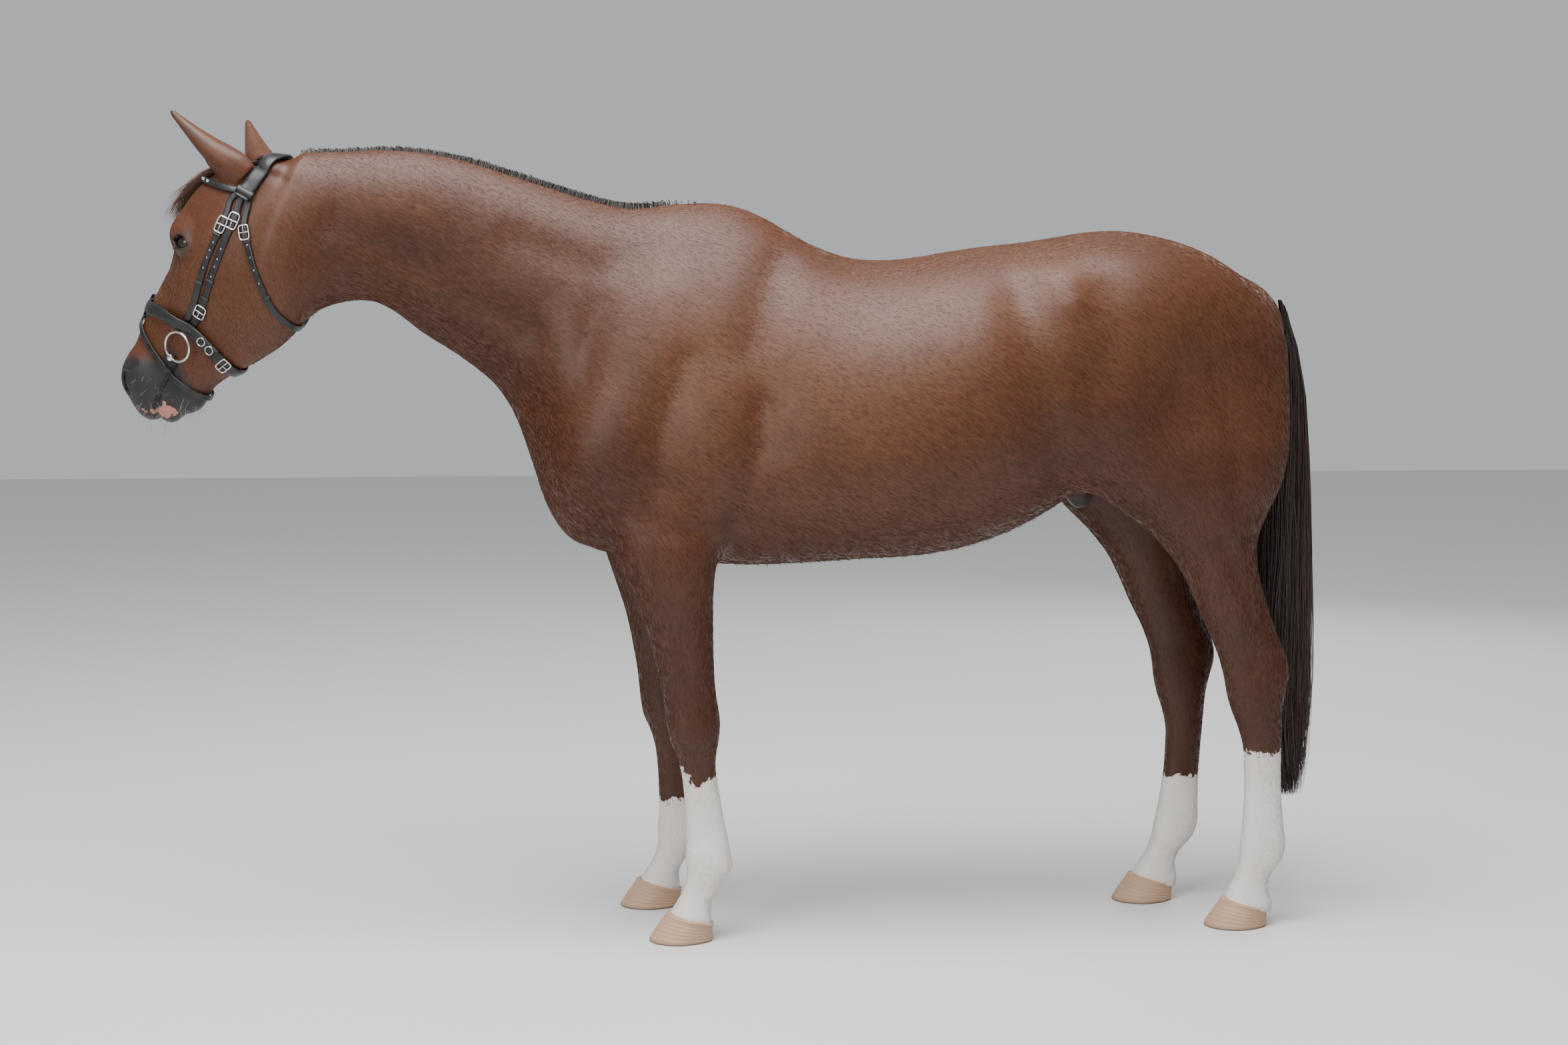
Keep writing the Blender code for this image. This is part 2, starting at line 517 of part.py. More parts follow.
def drawn_to(field, p, level=0.0, rounds=3):
    """Moves points onto the surface where the field equals level."""
    for _ in range(rounds):
        slope = slope_of(field, p)
        steep = np.maximum((slope * slope).sum(1), 0.05)
        p = p - slope * ((field(p) - level) / steep)[:, None]
    return p


# ---------- objects ----------
def material(name, colour, roughness, metallic=0.0):
    made = bpy.data.materials.new(name)
    made.use_nodes = True
    shader = made.node_tree.nodes["Principled BSDF"]
    shader.inputs["Base Color"].default_value = (*colour, 1)
    shader.inputs["Roughness"].default_value = roughness
    shader.inputs["Metallic"].default_value = metallic
    return made


COLOURS = {
    "coat": ((0.16, 0.055, 0.022), 0.45),
    "eye": ((0.02, 0.012, 0.008), 0.1),
    "hoof": ((0.35, 0.24, 0.15), 0.6),
    "dark_hair": ((0.03, 0.018, 0.014), 0.55),
    "mane_hair": ((0.12, 0.085, 0.07), 0.6),
    "leather": ((0.015, 0.014, 0.014), 0.4),
    "steel": ((0.75, 0.74, 0.72), 0.2, 1.0),
}


def new_object(name, mesh, kind):
    mesh.materials.clear()
    mesh.materials.append(material(name, *COLOURS[kind]))
    mesh.shade_smooth()
    made = bpy.data.objects.new(name, mesh)
    bpy.context.scene.collection.objects.link(made)
    return made


def mesh_of(name, points, faces):
    mesh = bpy.data.meshes.new(name)
    mesh.from_pydata(np.asarray(points).tolist(), [], [list(map(int, f)) for f in faces])
    mesh.update()
    return mesh


def outward(mesh):
    """The mesh in triangles, with its faces turned outwards."""
    work = bmesh.new()
    work.from_mesh(mesh)
    bmesh.ops.triangulate(work, faces=work.faces[:])
    bmesh.ops.recalc_face_normals(work, faces=work.faces[:])
    work.to_mesh(mesh)
    work.free()
    return mesh


def thinned(mesh, triangles):
    """The same mesh with about this many triangles."""
    helper = bpy.data.objects.new("helper", mesh)
    bpy.context.scene.collection.objects.link(helper)
    ratio = triangles / sum(len(p.vertices) - 2 for p in mesh.polygons)
    helper.modifiers.new("thin", "DECIMATE").ratio = min(ratio, 1.0)
    graph = bpy.context.evaluated_depsgraph_get()
    result = bpy.data.meshes.new_from_object(helper.evaluated_get(graph))
    bpy.data.objects.remove(helper, do_unlink=True)
    return result


def cut(mesh, planes):
    """Keeps the side of each plane (point, normal) that its normal points away from, and closes the cut."""
    work = bmesh.new()
    work.from_mesh(mesh)
    for point, normal in planes:
        found = bmesh.ops.bisect_plane(
            work,
            geom=work.verts[:] + work.edges[:] + work.faces[:],
            plane_co=point,
            plane_no=normal,
            clear_outer=True,
        )
        rim = [e for e in found["geom_cut"] if isinstance(e, bmesh.types.BMEdge) and e.is_boundary]
        bmesh.ops.holes_fill(work, edges=rim, sides=0)
    bmesh.ops.triangulate(work, faces=work.faces[:])
    bmesh.ops.dissolve_degenerate(work, dist=1e-5, edges=work.edges[:])
    bmesh.ops.triangulate(work, faces=work.faces[:])
    drop_flaps(work)
    keep_largest(work)
    bmesh.ops.recalc_face_normals(work, faces=work.faces[:])
    work.to_mesh(mesh)
    work.free()
    return mesh


def drop_flaps(work):
    """Deletes pairs of faces that lie back to back on the same three corners."""
    work.verts.index_update()
    seen = {}
    for face in work.faces:
        seen.setdefault(frozenset(v.index for v in face.verts), []).append(face)
    flaps = [face for faces in seen.values() if len(faces) > 1 for face in faces]
    bmesh.ops.delete(work, geom=flaps, context="FACES")
    lone = [v for v in work.verts if not v.link_faces]
    bmesh.ops.delete(work, geom=lone, context="VERTS")


def keep_largest(work):
    """Drops all but the largest connected piece."""
    left, pieces = set(work.verts), []
    while left:
        piece, edge = set(), [left.pop()]
        while edge:
            vertex = edge.pop()
            piece.add(vertex)
            around = {e.other_vert(vertex) for e in vertex.link_edges} & left
            left -= around
            edge += around
        pieces.append(piece)
    largest = max(pieces, key=len)
    spare = [v for v in work.verts if v not in largest]
    bmesh.ops.delete(work, geom=spare, context="VERTS")


def part_of_body(name, kind, field, low, high, step, triangles, planes):
    mesh = outward(mesh_of(name, *surface(field, low, high, step)))
    return new_object(name, cut(thinned(mesh, triangles), planes), kind)


def ball(name, centre, radius, kind, segments=14, rings=8):
    work = bmesh.new()
    bmesh.ops.create_uvsphere(work, u_segments=segments, v_segments=rings, radius=radius)
    bmesh.ops.translate(work, verts=work.verts, vec=centre)
    mesh = bpy.data.meshes.new(name)
    work.to_mesh(mesh)
    work.free()
    return new_object(name, mesh, kind)


def take_out(solid, cutter):
    """Cuts the helper shape out of the solid."""
    cutter.hide_render, cutter.display_type = True, "WIRE"
    made = solid.modifiers.new(cutter.name, "BOOLEAN")
    made.operation, made.object = "DIFFERENCE", cutter


# ---------- where the parts meet ----------
def both_sides(point, normal):
    """The cut plane as seen from the part before it and from the part behind it, half a gap apart."""
    point, normal = np.array(point, float), unit(normal)
    return (
        (point - normal * CUT_GAP / 2, normal),
        (point + normal * CUT_GAP / 2, -normal),
    )


NECK_FROM_HEAD, HEAD_FROM_NECK = both_sides((-1.045, 0.0, 1.58), (-0.975, 0.14, -0.178))
TRUNK_FROM_NECK, NECK_FROM_TRUNK = both_sides((-0.40, 0, 1.36), (-0.807, 0, 0.590))
TRUNK_FROM_FORE, FORE_FROM_TRUNK = both_sides((-0.30, 0, 0.84), (-0.196, 0, -0.981))
TRUNK_FROM_HIND, HIND_FROM_TRUNK = both_sides((0.62, 0, 0.935), (0.387, 0, -0.922))
LEFT_FROM_RIGHT, RIGHT_FROM_LEFT = both_sides((0, 0, 0), (0, 1, 0))
HOOF_SLOPE = HOOF_TOP_FRONT - HOOF_TOP_REAR
HOOF_LONG = 0.102  # of the coronet, from toe to heel


def coronet(front):
    """Cut plane above a hoof whose coronet starts at x = front."""
    return both_sides((front, 0, HOOF_TOP_FRONT), (-HOOF_SLOPE, 0, -HOOF_LONG))


EAR_CUT = 0.045  # along the ear, where it leaves the head
EAR_WALL, EAR_FLOOR = 0.008, 0.062


def solid_ear(name):
    return lambda p: ear(p, name, EAR_WALL, EAR_FLOOR)


def head_with_ear_roots(p):
    f = body(p, socket=False)
    for name in EARS:
        base, along, _, _ = ear_frame(name)
        root = np.maximum(solid_ear(name)(p), (in_head(p) - base) @ along - EAR_CUT + CUT_GAP)
        f = join(f, root, 0.012)
    return f


# ---------- flesh ----------
HEAD = part_of_body(
    "head", "coat", head_with_ear_roots, (-1.60, -0.20, 1.12), (-1.00, 0.34, 1.86), 0.006, 1190,
    [HEAD_FROM_NECK],
)
part_of_body(
    "neck", "coat", body, (-1.30, -0.30, 0.90), (-0.08, 0.32, 1.86), 0.014, 500,
    [NECK_FROM_HEAD, NECK_FROM_TRUNK],
)
part_of_body(
    "trunk", "coat", body, (-0.80, -0.42, 0.56), (1.28, 0.42, 1.74), 0.018, 1100,
    [TRUNK_FROM_NECK, TRUNK_FROM_FORE, TRUNK_FROM_HIND],
)


def leaf(name):
    """Ear beyond the cut: rings that turn from an oval at the base into a C and close again at the tip."""
    base, along, face, across = ear_frame(name)
    place = np.linspace(EAR_CUT + CUT_GAP, EAR_LONG, 9)[:, None]
    half, deep = through(EAR_WIDE, place), through(EAR_DEEP, place)
    hollow = np.clip((place - 0.05) / 0.03, 0, 1) * np.clip((0.178 - place) / 0.03, 0, 1)
    back = np.radians(np.linspace(-130, 130, 13))
    front = np.radians(np.linspace(142, 218, 7))
    bed = np.radians(np.linspace(112, -112, 7))
    wall = np.minimum(EAR_WALL * 0.5, half * 0.35)
    shut = 1 - hollow
    u = np.hstack([half * np.sin(back), shut * half * np.sin(front) + hollow * (half - wall) * np.sin(bed)])
    v = -np.hstack([deep * np.cos(back), shut * deep * np.cos(front) + hollow * (deep - wall) * np.cos(bed)])
    v = v + 0.003 * np.sin(np.pi * place / EAR_LONG)
    q = base + place[..., None] * along + u[..., None] * across + v[..., None] * face
    rings, k = q.shape[:2]
    faces = [list(range(k)), list(range((rings - 1) * k, rings * k))[::-1]]
    for i in range(rings - 1):
        on = i * k
        faces += [[on + j, on + k + j, on + k + (j + 1) % k, on + (j + 1) % k] for j in range(k)]
    new_object("ear_" + name, outward(mesh_of("ear_" + name, from_head(q.reshape(-1, 3)), faces)), "coat")


for name in EARS:
    leaf(name)

FORE_FRONT, HIND_FRONT = FORE[-1][1], HIND[-1][1]
LEGS = {
    "leg_front_left": (-0.55, 0.05, FORE_FRONT, -1, 0.0),
    "leg_front_right": (-0.55, 0.05, FORE_FRONT + STRIDE_FORE[1][1], 1, 0.015),
    "leg_hind_left": (0.45, 1.24, HIND_FRONT, -1, 0.0),
    "leg_hind_right": (0.45, 1.24, HIND_FRONT + STRIDE_HIND[0][1] + 0.008, 1, 0.0),
}
for name, (start, end, toe, side, _) in LEGS.items():
    above = FORE_FROM_TRUNK if "front" in name else HIND_FROM_TRUNK
    below = coronet(toe)[0]
    part_of_body(
        name, "coat", body,
        (start, min(side, 0) * 0.40 - 0.03, 0.0), (end, max(side, 0) * 0.40 + 0.03, 1.30), 0.010, 450,
        [above, below, LEFT_FROM_RIGHT if side < 0 else RIGHT_FROM_LEFT],
    )


# ---------- hooves ----------
def hoof(name, toe, side, out, apart):
    """Truncated oval cone: the flat sole is longer and wider than the coronet; the top follows the cut."""
    around = np.linspace(0, 2 * np.pi, 20, endpoint=False)
    cos, sin = np.cos(around), np.sin(around)
    heel_in = 1 - 0.12 * np.clip(cos, 0, 1)
    sole = np.stack([toe + 0.028 + 0.074 * cos, 0.063 * sin * heel_in, 0 * cos], 1)
    top = np.stack([toe + 0.052 + 0.053 * cos, 0.050 * sin * heel_in, 0 * cos], 1)
    top[:, 2] = HOOF_TOP_FRONT - CUT_GAP - HOOF_SLOPE / HOOF_LONG * (top[:, 0] - toe)
    band = sole + 0.62 * (top - sole)
    rings = np.concatenate([sole, band + (band - [toe + 0.045, 0, 0]) * (0.015, 0.015, 0), top])
    rings[:, 1] += side * (apart + out)
    n = len(around)
    faces = [list(range(n))[::-1], list(range(2 * n, 3 * n))]
    for ring in (0, n):
        faces += [[ring + i, ring + (i + 1) % n, ring + n + (i + 1) % n, ring + n + i] for i in range(n)]
    new_object(name, outward(mesh_of(name, rings, faces)), "hoof")


for name, (_, _, toe, side, out) in LEGS.items():
    rows = FORE if "front" in name else HIND
    hoof(name.replace("leg", "hoof"), toe, side, out, rows[-1][4])


# ---------- eyes ----------
for name, side in (("left", 1), ("right", -1)):
    centre = from_head(np.array(EYE_PLACE) * (1, side, 1))[0]
    ball("eye_" + name, centre, EYE_RADIUS - CUT_GAP, "eye")
    take_out(HEAD, ball("socket_" + name, centre, EYE_RADIUS, "eye"))


# ---------- hair ----------
# Rows of the tail: height, front x, rear x, half width.
TAIL = [
    (1.435, 1.134, 1.152, 0.020), (1.41, 1.140, 1.172, 0.032),
    (1.36, 1.140, 1.190, 0.042), (1.30, 1.135, 1.200, 0.046),
    (1.22, 1.125, 1.210, 0.050), (1.10, 1.100, 1.220, 0.054),
    (0.90, 1.085, 1.230, 0.060), (0.70, 1.075, 1.236, 0.064),
    (0.50, 1.070, 1.236, 0.058), (0.38, 1.090, 1.230, 0.045),
    (0.30, 1.13, 1.220, 0.026), (0.26, 1.16, 1.205, 0.012),
]


def clear_of_flesh(points, gap):
    """The points, with those in the flesh or nearer to it than the gap drawn out to it."""
    near = body(points) < gap
    points[near] = drawn_to(body, points[near], gap, rounds=6)
    return points


def tail():
    """Rings down the tail, pressed flat where it leaves the buttocks."""
    height, front, rear, half = np.array(TAIL)[::-1].T
    z = np.concatenate([np.linspace(0.26, 1.2, 15), np.linspace(1.24, 1.435, 7)])[:, None]
    front, rear, half = (through(list(zip(height, column)), z) for column in (front, rear, half))
    turn = np.linspace(0, 2 * np.pi, 12, endpoint=False)
    x = (front + rear) / 2 + (rear - front) / 2 * np.cos(turn)
    rings = np.stack([x, half * np.sin(turn), z + 0 * turn], -1)
    rows, k = rings.shape[:2]
    points = clear_of_flesh(rings.reshape(-1, 3), TAIL_GAP)
    faces = [list(range(k)), list(range((rows - 1) * k, rows * k))[::-1]]
    for i in range(rows - 1):
        on = i * k
        faces += [[on + j, on + k + j, on + k + (j + 1) % k, on + (j + 1) % k] for j in range(k)]
    new_object("tail", outward(mesh_of("tail", points, faces)), "dark_hair")


tail()


def draped(name, kind, places, gap, depth):
    """Closed slab of hair over the coat: a grid of places drawn onto it, with the hair's depth at each."""
    rows, columns = places.shape[:2]
    inner = drawn_to(body, places.reshape(-1, 3), gap, rounds=6)
    out = slope_of(body, inner)
    out /= np.linalg.norm(out, axis=1)[:, None]
    points = np.concatenate([inner, inner + out * depth.reshape(-1, 1)])
    number = np.arange(rows * columns).reshape(rows, columns)
    quads = np.stack([number[:-1, :-1], number[1:, :-1], number[1:, 1:], number[:-1, 1:]], -1).reshape(-1, 4)
    rim = np.concatenate([number[0], number[1:, -1], number[-1, -2::-1], number[-2:0:-1, 0]])
    after = np.roll(rim, -1)
    size = rows * columns
    sides = np.stack([rim, after, after + size, rim + size], 1)
    faces = np.concatenate([quads, quads[:, ::-1] + size, sides])
    new_object(name, outward(mesh_of(name, points, faces)), kind)


def mane():
    """From just left of the crest, over it and down the right side, standing up a little on the crest."""
    x, over = np.meshgrid(np.linspace(-1.036, -0.24, 17), np.linspace(0, 1, 9) ** 1.5, indexing="ij")
    fall = through([(-1.08, 0.06), (-1.0, 0.12), (-0.6, 0.13), (-0.35, 0.09), (-0.2, 0.04)], x)
    y = -0.018 + 0.125 * over
    z = through(NECK_CREST, x) + 0.01 - fall * over**1.6
    depth = 0.006 + 0.024 * np.exp(-(((over - 0.16) / 0.2) ** 2))
    draped("mane", "mane_hair", np.stack([x, y, z], -1), MANE_GAP, depth)


def forelock():
    """Lock that falls from between the ears over the browband and the forehead."""
    s, side = np.meshgrid(np.linspace(-0.222, -0.036, 12), np.linspace(-1, 1, 6), indexing="ij")
    half = through([(-0.24, 0.016), (-0.18, 0.028), (-0.10, 0.032), (-0.03, 0.010)], s)
    depth = through([(-0.24, 0.006), (-0.17, 0.014), (-0.08, 0.016), (-0.03, 0.005)], s) * (1 - 0.5 * side**2)
    q = np.stack([s, side * half, through(FACE, s) + 0.01], -1)
    draped("forelock", "dark_hair", from_head(q.reshape(-1, 3)).reshape(q.shape), 0.0085, depth)


mane()
forelock()


# ---------- bridle ----------
def smooth_route(points, count):
    """Evenly spaced places on the smooth curve through the points."""
    points = np.array(points, float)
    length = np.concatenate([[0], np.cumsum(np.linalg.norm(np.diff(points, axis=0), axis=1))])
    at = np.linspace(0, length[-1], count)
    return np.stack([through(list(zip(length, column)), at) for column in points.T], 1)


def strap(name, route, wide, lift=0.0, count=12, looped=False, side=1):
    """Leather band along a route in head coordinates. It hugs the coat, or stands off it by the lift."""
    route = np.array(route, float) * (1, side, 1)
    gap = STRAP_GAP + lift
    centre = drawn_to(body, from_head(smooth_route(route, count)), gap)
    if looped:
        centre = centre[:-1]
        ahead = np.roll(centre, -1, 0) - np.roll(centre, 1, 0)
    else:
        ahead = np.gradient(centre, axis=0)
    ahead /= np.linalg.norm(ahead, axis=1)[:, None]
    out = slope_of(body, centre)
    out /= np.linalg.norm(out, axis=1)[:, None]
    across = np.cross(ahead, out)
    rows = []
    for place in (-1, 0, 1):
        inner = drawn_to(body, centre + across * wide / 2 * place, gap)
        rows.append(inner)
    rings = rows + [r + out * STRAP_THICK for r in rows[::-1]]
    points = np.stack(rings, 1).reshape(-1, 3)
    n, k = len(centre), len(rings)
    faces = [] if looped else [list(range(k)), list(range((n - 1) * k, n * k))[::-1]]
    for i in range(n if looped else n - 1):
        a, b = i * k, (i + 1) % n * k
        faces += [[a + j, b + j, b + (j + 1) % k, a + (j + 1) % k] for j in range(k)]
    return new_object(name, outward(mesh_of(name, points, faces)), "leather")


def mirrored(route):
    return [(s, -y, d) for s, y, d in route]


# Routes in head coordinates.
HEADPIECE = [
    (-0.150, 0.085, -0.098), (-0.185, 0.076, -0.100), (-0.222, 0.062, -0.100), (-0.25, 0.030, -0.099),
    (-0.262, 0.0, -0.100),
]
BROWBAND = [
    (-0.157, 0.083, -0.072), (-0.154, 0.085, -0.052), (-0.149, 0.080, -0.030), (-0.140, 0.062, 0.004),
    (-0.134, 0.032, 0.024), (-0.132, 0.0, 0.028),
]
HANGER = [
    (-0.138, 0.0895, -0.078), (-0.115, 0.095, -0.083), (-0.090, 0.098, -0.084), (-0.050, 0.104, -0.084),
    (0.0, 0.104, -0.081), (0.055, 0.098, -0.080), (0.100, 0.082, -0.077), (0.146, 0.064, -0.066),
]
CHEEKPIECE = [
    (-0.138, 0.087, -0.0975), (-0.120, 0.092, -0.1025), (-0.098, 0.096, -0.104), (-0.060, 0.100, -0.104),
    (-0.010, 0.102, -0.104), (0.040, 0.098, -0.102), (0.085, 0.086, -0.100), (0.130, 0.069, -0.092),
    (0.146, 0.063, -0.089),
]
NOSEBAND = [
    (0.182, 0.0, 0.058), (0.181, 0.030, 0.048), (0.176, 0.055, 0.020), (0.171, 0.062, -0.020),
    (0.172, 0.058, -0.056), (0.180, 0.053, -0.092), (0.196, 0.046, -0.131), (0.212, 0.036, -0.168),
    (0.226, 0.012, -0.192), (0.228, 0.0, -0.194),
]
FLASH = [
    (0.216, 0.0, 0.066), (0.222, 0.022, 0.058), (0.240, 0.042, 0.038), (0.262, 0.048, 0.000),
    (0.280, 0.047, -0.036), (0.297, 0.043, -0.070), (0.306, 0.038, -0.106), (0.312, 0.022, -0.134),
    (0.314, 0.0, -0.142),
]
THROATLASH = [
    (-0.140, 0.084, -0.1175), (-0.118, 0.087, -0.1225), (-0.090, 0.088, -0.134), (-0.060, 0.088, -0.160),
    (-0.030, 0.087, -0.186), (0.0, 0.083, -0.212), (0.028, 0.075, -0.238), (0.050, 0.060, -0.262),
    (0.066, 0.034, -0.282), (0.074, 0.0, -0.292),
]


def ring_of(half_route):
    """Whole route from the half on the left: up the right side and down the left one."""
    return mirrored(half_route)[::-1] + half_route[1:]


strap("headpiece", mirrored(HEADPIECE) + HEADPIECE[::-1][1:], 0.034, lift=0.0045, count=19)
strap("browband", mirrored(BROWBAND) + BROWBAND[::-1][1:], 0.014, count=19)
strap("throatlash", mirrored(THROATLASH) + THROATLASH[::-1][1:], 0.015, count=25)
strap("noseband", ring_of(NOSEBAND), 0.026, lift=0.002, count=29, looped=True)
strap("flash_strap", ring_of(FLASH), 0.013, lift=0.002, count=25, looped=True)
for name, side in (("left", 1), ("right", -1)):
    strap("noseband_hanger_" + name, HANGER, 0.014, count=10, side=side)
    strap("cheekpiece_" + name, CHEEKPIECE, 0.015, count=11, side=side)


# ---------- bit ----------
RING_PLACE = (0.2240, 0.0650, -0.0655)
RING_AXIS = unit((0.18, 0.98, 0.06))
BALL_FROM_RING = unit((0.031, -0.0063, 0.010))  # towards the corner of the mouth


def torus(name, centre, axis, radius, wire, around=20, sides=6):
    turn, lap = np.meshgrid(
        np.linspace(0, 2 * np.pi, around, endpoint=False),
        np.linspace(0, 2 * np.pi, sides, endpoint=False),
        indexing="ij",
    )
    first = unit(np.cross(axis, (0.3, 0.1, 1.0)))
    second = np.cross(axis, first)
    spoke = np.cos(turn)[..., None] * first + np.sin(turn)[..., None] * second
    out, along = (radius + wire * np.cos(lap))[..., None], (wire * np.sin(lap))[..., None]
    points = np.array(centre) + spoke * out + axis * along
    faces = []
    for i in range(around):
        a, b = i * sides, (i + 1) % around * sides
        faces += [[a + j, b + j, b + (j + 1) % sides, a + (j + 1) % sides] for j in range(sides)]
    return new_object(name, outward(mesh_of(name, points.reshape(-1, 3), faces)), "steel")


for name, side in (("left", 1), ("right", -1)):
    flip = np.array((1, side, 1))
    centre = from_head(np.array(RING_PLACE) * flip)[0]
    axis = (RING_AXIS * flip) @ HEAD_AXES
    torus("bit_ring_" + name, centre, axis, RING_RADIUS, RING_WIRE)
    bore = torus("bore_" + name, centre, axis, RING_RADIUS, RING_WIRE + CUT_GAP)
    place = centre + (BALL_FROM_RING * flip) @ HEAD_AXES * RING_RADIUS
    end = ball("bit_end_" + name, place, BALL_RADIUS, "steel", 10, 6)
    take_out(end, bore)


# ---------- origin under the middle of the whole ----------
solids = [o for o in bpy.context.scene.objects if o.type == "MESH"]
corners = np.array([v.co for o in solids if not o.hide_render for v in o.data.vertices])
low, high = corners.min(0), corners.max(0)
shift = np.array(((low[0] + high[0]) / 2, (low[1] + high[1]) / 2, low[2]))
for solid in solids:
    places = np.empty(len(solid.data.vertices) * 3)
    solid.data.vertices.foreach_get("co", places)
    solid.data.vertices.foreach_set("co", (places.reshape(-1, 3) - shift).ravel())
    solid.data.update()
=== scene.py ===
# %% [markdown]
# # A chestnut riding horse in its bridle
# The solids of the horse are already packed as a fixed frame: plain, faceted parts with the true outline.
# This script dresses that frame. One skin takes the place of all the flesh, short coat hair lies on it,
# long hair hangs in locks, and the bridle gets its padding, buckles and stitches. The frame gives the box
# of every part, so each new piece is placed from it.

import bmesh
import bpy
import numpy as np
from mathutils import Matrix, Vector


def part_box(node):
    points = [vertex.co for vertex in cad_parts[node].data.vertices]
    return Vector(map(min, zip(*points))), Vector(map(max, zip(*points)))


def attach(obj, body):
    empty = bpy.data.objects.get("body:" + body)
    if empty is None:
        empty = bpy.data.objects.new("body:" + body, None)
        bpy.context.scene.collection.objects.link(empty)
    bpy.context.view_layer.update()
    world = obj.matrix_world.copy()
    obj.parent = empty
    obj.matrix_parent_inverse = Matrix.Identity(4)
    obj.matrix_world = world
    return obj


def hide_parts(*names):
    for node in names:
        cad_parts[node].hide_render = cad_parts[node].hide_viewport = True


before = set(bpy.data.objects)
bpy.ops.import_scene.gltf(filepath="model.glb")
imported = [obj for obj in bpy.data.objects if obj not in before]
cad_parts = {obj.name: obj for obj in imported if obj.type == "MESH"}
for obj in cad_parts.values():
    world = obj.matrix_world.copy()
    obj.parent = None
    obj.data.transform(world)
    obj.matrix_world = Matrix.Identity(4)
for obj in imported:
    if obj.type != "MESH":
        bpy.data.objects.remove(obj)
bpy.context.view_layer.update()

# %% [markdown]
# The body is one distance field: a function that says how far a point is from the surface, with a minus
# sign inside. Lofts through named stations give the trunk, neck, legs and head, and muscles are melted on
# with a soft joint. Cutting, thinning or thickening a field takes one sum, which cut meshes can't do so
# simply, and any detail can be sampled as finely as it needs. All of it is in metres, with x along the
# horse from head to tail, its left side at low y, and z up.

# %% Helpers for fields
def through(stations, at):
    """Value of the smooth curve that runs through the (place, value) stations, at each place of at."""
    knot, value = np.array(stations, float).T
    gap = np.diff(knot)
    slope = np.diff(value) / gap
    inner = (slope[:-1] * gap[1:] + slope[1:] * gap[:-1]) / (gap[:-1] + gap[1:])
    lean = np.concatenate([slope[:1], inner, slope[-1:]])
    at = np.clip(at, knot[0], knot[-1])
    i = np.clip(np.searchsorted(knot, at, side="right") - 1, 0, len(gap) - 1)
    t = (at - knot[i]) / gap[i]
    near, far = value[i], value[i + 1]
    out, into = lean[i] * gap[i], lean[i + 1] * gap[i]
    return near + t * (out + t * (3 * (far - near) - 2 * out - into + t * (2 * (near - far) + out + into)))


def unit(vector):
    """The vector, or each row of an array of vectors, at length one."""
    vector = np.array(vector, float)
    return vector / np.maximum(np.linalg.norm(vector, axis=-1, keepdims=True), 1e-12)


# %% Distance fields: below zero inside, above zero outside
def join(a, b, soft):
    """Union of two fields, with a fillet about as wide as soft."""
    h = np.maximum(soft - np.abs(a - b), 0.0) / soft
    return np.minimum(a, b) - h * h * soft / 4


def carve(a, b, soft):
    """Field a with b taken out of it, its rim rounded."""
    return -join(-a, b, soft)


def round_section(u, v, half, high, low, power, over, cap):
    """Distance to a rounded cross-section: half wide, high above its middle and low below it.
    A power of 2 is an ellipse, and a larger one is squarer. over is how far past the end we are."""
    rise = v > 0
    tall = np.where(rise, high, low)
    power = np.where(rise, *power)
    a, b = np.abs(u) / half + 1e-9, np.abs(v) / tall + 1e-9
    ratio = np.sqrt((a**power + b**power) ** (2 / power) + (over / cap) ** 2)
    reach = np.sqrt(u * u + v * v + over * over)
    return reach * (1 - 1 / np.maximum(ratio, 1e-3))


def loft(s, u, v, top, low, half, middle=None, centre=0.0, power=(2.2, 2.2), cap=0.05):
    """Form along s whose sections are given by stations: its top and low outline in v, its half width in u.
    cap is how far its rounded ends reach past the stations."""
    t = np.clip(s, max(top[0][0], low[0][0]), min(top[-1][0], low[-1][0]))
    high, deep = through(top, t), through(low, t)
    mid = (high + deep) / 2 if middle is None else through(middle, t)
    side = through(centre, t) if isinstance(centre, list) else centre
    power = [through(p, t) if isinstance(p, list) else p for p in power]
    if isinstance(cap, tuple):
        cap = np.where(s < t, *cap)
    over = np.abs(s - t)
    return round_section(u - side, v - mid, through(half, t), high - mid, mid - deep, power, over, cap)


def ellipsoid(p, centre, radii, along=None):
    """About the distance to an ellipsoid: (r - 1) r / |gradient|, with r the place in units of the radii."""
    d = p - np.array(centre, float)
    if along is not None:
        a, side = unit(along), (0, 1, 0)
        b = unit(side - a * (a @ side))
        d = d @ np.stack([a, b, np.cross(a, b)], 1)
    one = np.linalg.norm(d / radii, axis=1)
    two = np.linalg.norm(d / np.square(radii), axis=1) + 1e-9
    return one * (one - 1) / two


def spindle(p, start, end, wide, thick):
    """Long muscle or bone between two points: thick from side to side and wide the other way."""
    a, b = np.array(start, float), np.array(end, float)
    return ellipsoid(p, (a + b) / 2, (np.linalg.norm(b - a) / 2, thick, wide), b - a)


def from_path(p, path):
    """Distance to the nearest of a path's straight pieces, flat or in space."""
    path = np.array(path, float)
    best = np.full(len(p), 9.0)
    for a, b in zip(path[:-1], path[1:]):
        t = np.clip((p - a) @ (b - a) / ((b - a) @ (b - a)), 0, 1)
        best = np.minimum(best, np.linalg.norm(p - a - t[:, None] * (b - a), axis=1))
    return best


def folded(p):
    """The places with the sign of y taken off, so that one shape serves both sides."""
    return np.stack([p[:, 0], np.abs(p[:, 1]), p[:, 2]], 1)


def with_spindles(f, p, rows):
    """Field f with a spindle melted on for each row of start, end, width, thickness and fillet."""
    for start, end, wide, thick, soft in rows:
        f = join(f, spindle(p, start, end, wide, thick), soft)
    return f


